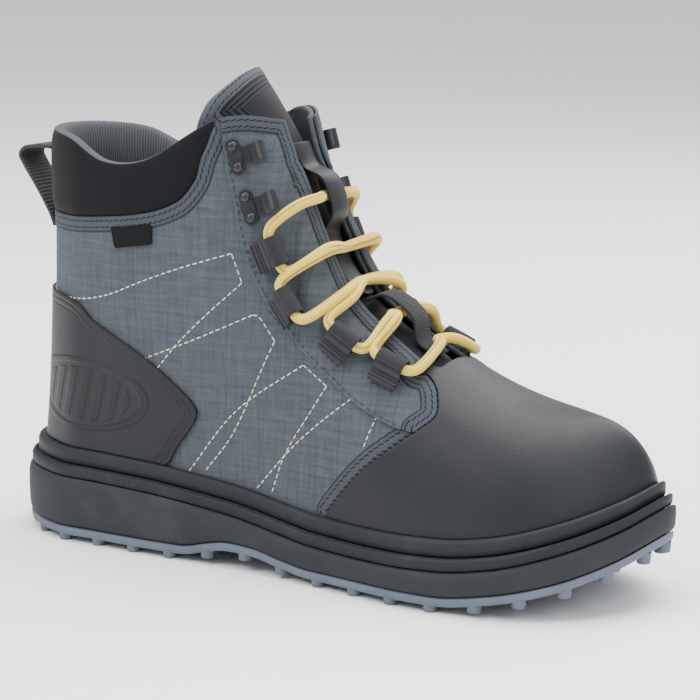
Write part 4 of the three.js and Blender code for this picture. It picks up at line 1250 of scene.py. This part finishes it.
def on_tongue(s, y, offset):
    """A point on the tongue's face: share along it, millimetres across and above it."""
    s, y, offset = np.broadcast_arrays(*(np.asarray(a, float) for a in (s, y, offset)))
    along = unit(tongue_line(np.clip(s + 0.002, 0, 1)) - tongue_line(np.clip(s - 0.002, 0, 1)))
    out = np.stack([along[..., 2], np.zeros(s.shape), -along[..., 0]], -1)
    share = y / (tongue_column(s, 2) * ball_width)
    sag = tongue_column(s, 3) * ball_width * share**2
    p = tongue_line(s) + out * (offset - sag)[..., None]
    p[..., 1] = y + ridge_y(p[..., 0])
    return p


def tongue_at(x):
    """The share of the tongue's line at x millimetres."""
    s = np.linspace(0, 1, 2001)
    return np.interp(-np.asarray(x, float), -tongue_line(s)[:, 0], s)


bm = grid(110, 60)


def place_tongue(u, v):
    turn = v * 2
    share = np.where(turn < 1, -1 + 2 * turn, 3 - 2 * turn)
    share = np.sign(share) * (1 - (1 - np.abs(share)) ** 1.3)
    corner = np.maximum(0, (np.abs(share) - 0.6) / 0.4) ** 2
    s = u * (0.95 + 0.045 * share - 0.03 * corner)
    half = share * tongue_column(s, 2) * ball_width
    depth = tongue_column(s, 4) * tongue_thickness
    round_end = np.sqrt(np.clip(1 - np.maximum(0, (u - 0.985) / 0.015) ** 2, 0, 1))
    below = -depth * (0.25 + 0.75 * np.sqrt(np.clip(1 - share**4, 0, 1)))
    face_at = -0.12 * depth * share**8
    middle = (below + face_at) / 2
    reached = np.where(turn < 1, below, face_at)
    offset = middle + (reached - middle) * round_end
    return on_tongue(s, half, offset)


def from_edges(u, v):
    """Millimetres from the tongue's top and from its side edges."""
    turn = v * 2
    share = np.abs(np.where(turn < 1, -1 + 2 * turn, 3 - 2 * turn))
    return (1 - u) * 200, (1 - share) ** 1.3 * tongue_column(u, 2) * ball_width


lay(bm, place_tongue, from_edges)
close_ends(bm)
tongue = piece("padded_tongue", bm, [tongue_cloth], ["tongue"], angle=50)

# %% [markdown]
# A coated strip runs up the tongue's middle and a webbing keeper holds the lace lower down. Both
# are flat bands that lift off the tongue in a low arch where the lace passes under them.

# %% Strip and keeper
def band_on_tongue(name, rows, half, thickness, material, replaces, rounded=0.0):
    p = np.array(rows, float)
    line_of = Open([(x * sole_length, lift, 0) for x, lift in p])
    bm = grid(70, 8)

    def place(u, v):
        q = line_of(u)
        s = tongue_at(q[:, 0])
        across = (2 * v - 1) * half
        if rounded:
            across = across * np.clip(1 - ((rounded - u) / rounded).clip(0, 1) ** 2, 0.1, 1) ** 0.5
        return on_tongue(s, across, 2.5 * gap + q[:, 1] + thickness)

    lay(bm, place, lambda u, v: (u * 60, v * 13))
    made = piece(name, bm, [material], replaces, turn=False)
    thicken(made, thickness, 0.3)
    return made


band_on_tongue("tongue_band", [
    (0.557, 0), (0.53, 0), (0.51, 0), (0.494, 0.3), (0.484, 8.5), (0.472, 8.5), (0.461, 0.4), (0.448, 0),
], strip_half, 1.4, strip_sheet, ["tongue_strip"], 0.08)
band_on_tongue("lace_keeper", [
    (0.667, 0), (0.641, 0.1), (0.62, 8.4), (0.578, 8.4), (0.563, 0.4),
], strip_half, webbing, loop_webbing, ["tongue_keeper"])

# %% [markdown]
# ## Loops and hooks
# Four webbing loops and two metal hooks sit on each side of the throat. Each has a frame on the
# form: one axis away from the upper, one along the throat.

# %% Frames along the throat
place_x, place_z = np.array(loop_places + hook_places).T
places = {
    side: seen_at(place_x * sole_length, place_z * shaft_height, side)
    for side in (-1, 1)
}


def frame_at(k, side, half_length, reach_of):
    """Axes and origin of a loop or hook, lifted clear of the eyestay under it."""
    ts, vs = places[side]
    t, v = ts[k : k + 1], vs[k : k + 1]
    out, origin = outwards(t, v)[0], on_rib(t, v)[0]
    spots = on_rib(ts, vs)
    along = spots[min(k + 1, len(ts) - 1)] - spots[max(k - 1, 0)]
    along = unit(along - out * along.dot(out))
    inwards = np.cross(out, along)
    aside, above_it = np.arange(-0.04, 0.0401, 0.002), np.arange(-0.24, 0.2401, 0.02)
    dt, dv = (g.ravel() for g in np.meshgrid(aside, above_it))
    near = on_form(t + dt, np.minimum(v + dv, 1), gap + stay_thickness) - origin
    hit = (np.abs(near @ along) < half_length) & (np.abs(near @ inwards) < reach_of)
    lift = max(0, (near[hit] @ out).max())
    return along, inwards, out, origin + out * (lift + 2 * gap)


loop_frames = {side: [frame_at(k, side, loop_width / 2 + 1, 9) for k in range(4)] for side in (-1, 1)}
hook_frames = {side: [frame_at(4 + k, side, 6.5, 7.5) for k in range(2)] for side in (-1, 1)}
lace_radius = lace_diameter / 2
eye_radius = lace_radius + 2 * gap


def to_frame(axes, side, towards, up, width):
    """Points drawn with towards the throat, up from the upper and width along the throat."""
    along, inwards, out, origin = axes
    return origin + np.outer(towards * side, inwards) + np.outer(up, out) + np.outer(width * side, along)


print("first loop's frame at", np.round(loop_frames[-1][0][3], 1))

# %% [markdown]
# A webbing loop is one folded strip: out along the upper, round the lace and back over itself.

# %% Webbing loops
def loop_line():
    """The middle line of the webbing: out along the upper, round the lace and back."""
    r = eye_radius + webbing / 2
    centre = eye_radius + webbing
    turn = np.linspace(-math.pi / 2, math.pi * 0.72, 26)
    eye = np.stack([r * np.cos(turn), centre + r * np.sin(turn)], -1)
    tail = [(-9.5, webbing / 2), (-6, webbing / 2), (-3, webbing / 2)]
    top = [(-centre - 1.2, 2.2 * webbing), (-7, 1.7 * webbing), (-9.5, 1.6 * webbing)]
    return np.vstack([tail, eye, top])


line_of_loop = loop_line()
loop_curve = Open([(a, b, 0) for a, b in line_of_loop])
for side, word in ((-1, "lateral"), (1, "medial")):
    for k in range(4):
        bm = grid(64, 10)

        def place(u, v, axes=loop_frames[side][k], side=side):
            p = loop_curve(u)
            way = unit(loop_curve(np.clip(u + 0.01, 0, 1)) - loop_curve(np.clip(u - 0.01, 0, 1)))
            swell = 0.12 * np.cos((2 * v - 1) * math.pi / 2)
            towards = p[:, 0] + way[:, 1] * (webbing / 2 + swell)
            up = p[:, 1] - way[:, 0] * (webbing / 2 + swell)
            return to_frame(axes, side, towards, up, (2 * v - 1) * loop_width / 2)

        lay(bm, place, lambda u, v: (u * 42, v * loop_width))
        node = f"lace_loop_{word}_{k + 1}"
        made = piece(f"webbing_loop_{word}_{k + 1}", bm, [loop_webbing], [node], turn=False)
        thicken(made, webbing * 0.9, 0.2)
print("eight loops")

# %% [markdown]
# A metal hook is a bent strip that opens towards the throat, on a plate with two domed rivets.

# %% Metal hooks
def hook(name, axes, side, node):
    """A bent strip on two rivets, open towards the throat."""
    half_strip = 0.65
    corners = [
        (-5.5, 0.7), (-1, 0.7), (3, 0.8), (5.4, 1.6), (6.4, 3.6), (5.6, 5.9), (3.6, 7), (1.6, 7),
    ]
    path = Open([(a, b, 0) for a, b in corners])
    bm = grid(40, 10)

    def place(u, v):
        p = path(u)
        tip = 1 - 0.25 * np.clip((u - 0.8) / 0.2, 0, 1) ** 2
        tail = 1 - 0.3 * np.clip((0.3 - u) / 0.3, 0, 1)
        half = hook_width / 2 * tip * tail
        way = unit(path(np.clip(u + 0.02, 0, 1)) - path(np.clip(u - 0.02, 0, 1)))
        towards = p[:, 0] + way[:, 1] * half_strip
        up = p[:, 1] - way[:, 0] * half_strip
        return to_frame(axes, side, towards, up, (2 * v - 1) * half)

    lay(bm, place, lambda u, v: (u * 20, v * 8))
    strip_of = bm.faces[:]
    bmesh.ops.solidify(bm, geom=strip_of, thickness=0.0012)
    join(bm, hook_base(axes, side))
    return piece(name, bm, [hook_paint.material], [node])


def hook_base(axes, side):
    """The plate behind the strip, with two domed rivets."""
    part = bmesh.new()
    along, inwards, out, origin = axes

    def at(shift, height):
        spot = origin + along * shift - inwards * side * 6 + out * height - (heel_centre, 0, 0)
        turn = np.vstack([np.column_stack([along, inwards, out, spot]), (0, 0, 0, 1)])
        return Matrix.Diagonal((0.001, 0.001, 0.001, 1)) @ Matrix(turn.tolist())

    for shift in (-4.6, 4.6):
        bmesh.ops.create_cone(part, cap_ends=True, segments=24, radius1=3.1, radius2=2.9, depth=1,
                              matrix=at(shift, 0.8))
        bmesh.ops.create_uvsphere(part, u_segments=20, v_segments=10, radius=2.2,
                                  matrix=at(shift, 1.3) @ Matrix.Diagonal((1, 1, 0.55, 1)))
    bmesh.ops.create_cone(part, cap_ends=True, segments=24, radius1=3.2, radius2=3, depth=0.9,
                          matrix=at(0, 0.7) @ Matrix.Diagonal((1.7, 1, 1, 1)))
    return part


for side, word in ((-1, "lateral"), (1, "medial")):
    for k in range(2):
        hook(f"metal_hook_{word}_{k + 1}", hook_frames[side][k], side, f"lace_hook_{word}_{k + 1}")

# %% [markdown]
# ## Lace
# The lace runs from a bar at the front through the loops and crosses over the tongue between them.
# Its points are the solids' own, and a smooth curve runs through them. A tube is a grid wrapped
# round that curve.

# %% Lace
crossings = [(0.654, 5.6), (0.592, 3.2), (0.542, 5.6), (0.506, 5.6), (0.4765, 3.6)]


def above(target, side, lift):
    """A point above the upper, found by its width from the middle and by x less z."""
    width = abs(target[1] - ridge_y(target[0]))

    def on_side(s):
        t = np.array([s if side < 0 else 1 - s])
        return t, climb(t, lambda p: width - np.abs(p[..., 1] - ridge_y(p[..., 0])))

    low, high = 0.15, 0.5
    for _ in range(14):
        middle = (low + high) / 2
        p = on_rib(*on_side(middle))[0]
        if p[0] - p[2] < target[0] - target[2]:
            low = middle
        else:
            high = middle
    return on_form(*on_side(low), lift)[0]


def eye(side, k, along, aside=0.0):
    axes = loop_frames[side][k]
    height = eye_radius + webbing - 0.2 * aside
    return axes[3] + axes[0] * along + axes[1] * side * aside + axes[2] * height


end = loop_width / 2 + 0.6
clear = gap + stay_thickness + gap + lace_radius


def rear(side, k):
    return [eye(side, k, end), eye(side, k, end + 2.9, 1.6)]


def ahead(side, k):
    return [eye(side, k, -end - 2.9, 1.6), eye(side, k, -end)]


def middle_of(k):
    x, lift = crossings[k]
    return on_tongue(tongue_at(x * sole_length), 0, lift)


def descent(start_near, side, k):
    t, v = seen_at(start_near[0], start_near[2], side)
    start, centre = on_rib(t, v)[0], middle_of(k)
    return [above(centre + (start - centre) * share, side, lift)
            for share, lift in ((0.72, clear + 3.4), (0.46, clear + 1.5))]


def crossing(side, k):
    start, finish = rear(side, k - 1), ahead(-side, k)
    down, up = descent(start[1], side, k), descent(finish[0], -side, k)[::-1]
    return [*start, *down, middle_of(k), *up, *finish]


def half_lace(side):
    return [*crossing(side, 1), *crossing(-side, 2), *crossing(side, 3), *rear(-side, 3),
            *descent(rear(-side, 3)[1], -side, 4), middle_of(4)]


left, right = (descent(ahead(side, 0)[0], side, 0)[1:] for side in (-1, 1))
bar = [eye(1, 0, 0), *ahead(1, 0)[::-1], *right, middle_of(0), *left[::-1], *ahead(-1, 0)]


def tube(points, radius, material, name, replaces=(), round_points=14):
    curve = Open(points)
    fine = curve(np.linspace(0, 1, 1500))
    run = lengths(fine)
    count = int(run[-1] / 1.3)
    at = np.linspace(0, run[-1], count + 1)
    line_of = np.stack([np.interp(at, run, fine[:, k]) for k in range(3)], -1)
    for _ in range(3):
        line_of[1:-1] = (line_of[:-2] + 2 * line_of[1:-1] + line_of[2:]) / 4
    way = unit(np.gradient(line_of, axis=0))
    aside = np.zeros_like(way)
    aside[0] = unit(np.cross(way[0], (0.3, 0.2, 1)))
    for k in range(1, len(way)):
        aside[k] = unit(aside[k - 1] - way[k] * aside[k - 1].dot(way[k]))
    across = np.cross(way, aside)
    bm = grid(count, round_points)

    def place(u, v):
        k = np.round(u * count).astype(int)
        turn = -2 * math.pi * v
        return line_of[k] + radius * (aside[k] * np.cos(turn)[:, None] + across[k] * np.sin(turn)[:, None])

    lay(bm, place, lambda u, v: (u * run[-1], v))
    close_ends(bm)
    print(name, "is", round(run[-1]), "mm long")
    return piece(name, bm, [material], replaces, angle=60)


tube([*bar, *half_lace(-1)], lace_radius, yellow_braid, "lace_with_bar", ["lace"])
tube([eye(1, 0, 0), *half_lace(1)], lace_radius, yellow_braid, "lace_second_half")

# %% [markdown]
# ## Pull loop, side tab and insole
# A webbing loop at the back helps to pull the boot on. The small tab under the collar is bare.

# %% Pull loop, side tab, insole
pull_path = Open([(x * sole_length, z * shaft_height, 0) for x, z in (
    (0.0502, 0.757), (0.0448, 0.781), (0.03, 0.825), (0.0126, 0.869), (-0.0032, 0.907), (-0.0095, 0.929),
    (-0.0032, 0.9455), (0.0158, 0.9525), (0.0347, 0.9536), (0.0462, 0.952),
)])
bm = grid(70, 12)


def place_pull(u, v):
    p = pull_path(u)
    way = unit(pull_path(np.clip(u + 0.01, 0, 1)) - pull_path(np.clip(u - 0.01, 0, 1)))
    y = (2 * v - 1) * pull_width / 2
    return np.stack([p[:, 0] - way[:, 1] * 0.8, y, p[:, 1] + way[:, 0] * 0.8], -1)


lay(bm, place_pull, lambda u, v: (u * 62, v * pull_width))
pull = piece("pull_webbing_loop", bm, [pull_webbing], ["pull_loop"], turn=False)
thicken(pull, 1.6, 0.35)

tab_corners = np.array([(0.217, 0.792), (0.286, 0.809), (0.286, 0.76), (0.223, 0.743)])
tab_outline = tab_corners * (sole_length, shaft_height)
bm = sheet(0.08, 0.2, 90, 80, lambda p: signed(tab_outline, p[:, 0], p[:, 2]), gap + 0.9, 0.5)
tab = piece("bare_side_tab", bm, [black_knit], ["side_tab"], turn=False)
thicken(tab, 0.8, 0.2)

bed_inset = upper_inset + wall + 3 * gap
piece("footbed", slab([
    (bed_inset, on_sole), (bed_inset, lambda x: on_sole(x) + 0.8 * insole_thickness),
    (bed_inset + 1.5, lambda x: on_sole(x) + 0.95 * insole_thickness),
    (bed_inset + 4, lambda x: on_sole(x) + insole_thickness),
], 160, 14), [lining_knit], ["insole"])

# %% [markdown]
# ## Thread
# The cream zigzags on the quarters are real stitches: short rods with round ends, laid end to end
# with small gaps. Each rod is a small sphere, stretched and turned into place.

# %% Zigzag stitches
zigzags = [
    [(20, 112.5), (29.9, 111.3), (40.5, 110.6), (54.3, 111.9), (66.3, 115), (83.2, 121.9),
     (104, 129.7), (128.9, 137.7)],
    [(128.9, 137.7), (133.9, 125.4)], [(133.9, 125.4), (103, 97.5), (90.6, 84)],
    [(82.8, 87.3), (112, 99.5), (139.3, 112)], [(139.3, 112), (141.5, 112), (150.2, 101.7)],
    [(150.2, 101.7), (128.8, 58.4), (114.7, 40.9)],
    [(105.7, 39.2), (130.5, 68.8), (164.1, 92.7)], [(164.1, 92.7), (177.1, 85.4)],
    [(177.1, 85.4), (156.5, 53.2), (149.7, 35.9)],
    [(141.6, 36.5), (164.1, 60.7), (189.6, 81.6)], [(189.6, 81.6), (202.4, 75.9)],
    [(202.4, 75.9), (197.8, 62.5)],
]


def stitches(name, runs, length, space, thick, material, lift):
    """runs: lines of (point, outward direction) on the boot, in millimetres."""
    bm = bmesh.new()
    count = 0
    for points, outs in runs:
        run = lengths(points)
        number = max(1, round((run[-1] + space) / (length + space)))
        pitch = (run[-1] + space) / number
        part = bmesh.new()
        for k in range(number):
            a, b = k * pitch, (k + 1) * pitch - space
            p, q = (np.array([np.interp(d, run, points[:, i]) for i in range(3)]) for d in (a, b))
            out = unit(np.array([np.interp((a + b) / 2, run, outs[:, i]) for i in range(3)]))
            way = unit(q - p)
            out = unit(out - way * out.dot(way))
            across = np.cross(out, way)
            centre = (p + q) / 2 + out * lift - (heel_centre, 0, 0)
            turn = Matrix(np.vstack([np.column_stack([
                way * (pitch - space), across * thick, out * thick * 0.8, centre]), (0, 0, 0, 1)]).tolist())
            turn = Matrix.Diagonal((0.001, 0.001, 0.001, 1)) @ turn
            bmesh.ops.create_uvsphere(
                part, u_segments=6, v_segments=5, radius=0.5,
                matrix=turn @ Matrix.Rotation(math.pi / 2, 4, "Y"))
        count += number
        join(bm, part)
    print(name, count, "stitches")
    return piece(name, bm, [material], merge=1e-7, turn=False)


def side_line(points, side, offset):
    """A line drawn from the side, laid on the form: points and outward directions."""
    p = np.array(points, float)
    if len(p) > 2:
        fine = Open([(x, z, 0) for x, z in p])(np.linspace(0, 1, 60))[:, :2]
    else:
        fine = p[0] + (p[1] - p[0]) * np.linspace(0, 1, 12)[:, None]
    t, v = seen_at(fine[:, 0], fine[:, 1], side)
    return on_form(t, v, offset), outwards(t, v)


runs = [side_line(line_of, side, 0.0) for side in (-1, 1) for line_of in zigzags]
stitches("cream_stitches", runs, 2.5, 0.9, 0.62, thread_paint.material, 0.12)
stay_row = drawn(stay_seam, 60)[6:-3] + (1.6, 0.6)
dark_runs = [side_line([tuple(p) for p in stay_row], side, gap + stay_thickness) for side in (-1, 1)]
for side in (-1, 1):
    for axes in loop_frames[side]:
        along, inwards, out, origin = axes
        for back_by in (10.2, 11.6, 13):
            spots = np.array([origin + along * a - inwards * side * back_by for a in (-5.5, 0, 5.5)])
            t, v = seen_at(spots[:, 0], spots[:, 2], side)
            dark_runs.append((on_form(t, v, gap + stay_thickness), outwards(t, v)))
stitches("dark_stitches", dark_runs, 2.2, 1.2, 0.7, dark_thread.material, 0.1)
round_t = np.linspace(0, 1, 400)
ring_line = edge(round_t, welt_inset + 2.6)
ring_line[:, 2] = welt_top(ring_line[:, 0]) - 0.55
upright = np.tile((0.0, 0.0, 1.0), (400, 1))
stitches("welt_stitches", [(ring_line, upright)], 3.6, 1.6, 0.9, dark_thread.material, 0.1)

# %% [markdown]
# The dressed boot's box is put next to the solids' box and printed.

# %% Boxes
size = {"solids": [list(c) for c in solid_box], "dressed": [list(c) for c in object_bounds()]}
print("dressed", [tuple(round(c, 4) for c in corner) for corner in size["dressed"]])
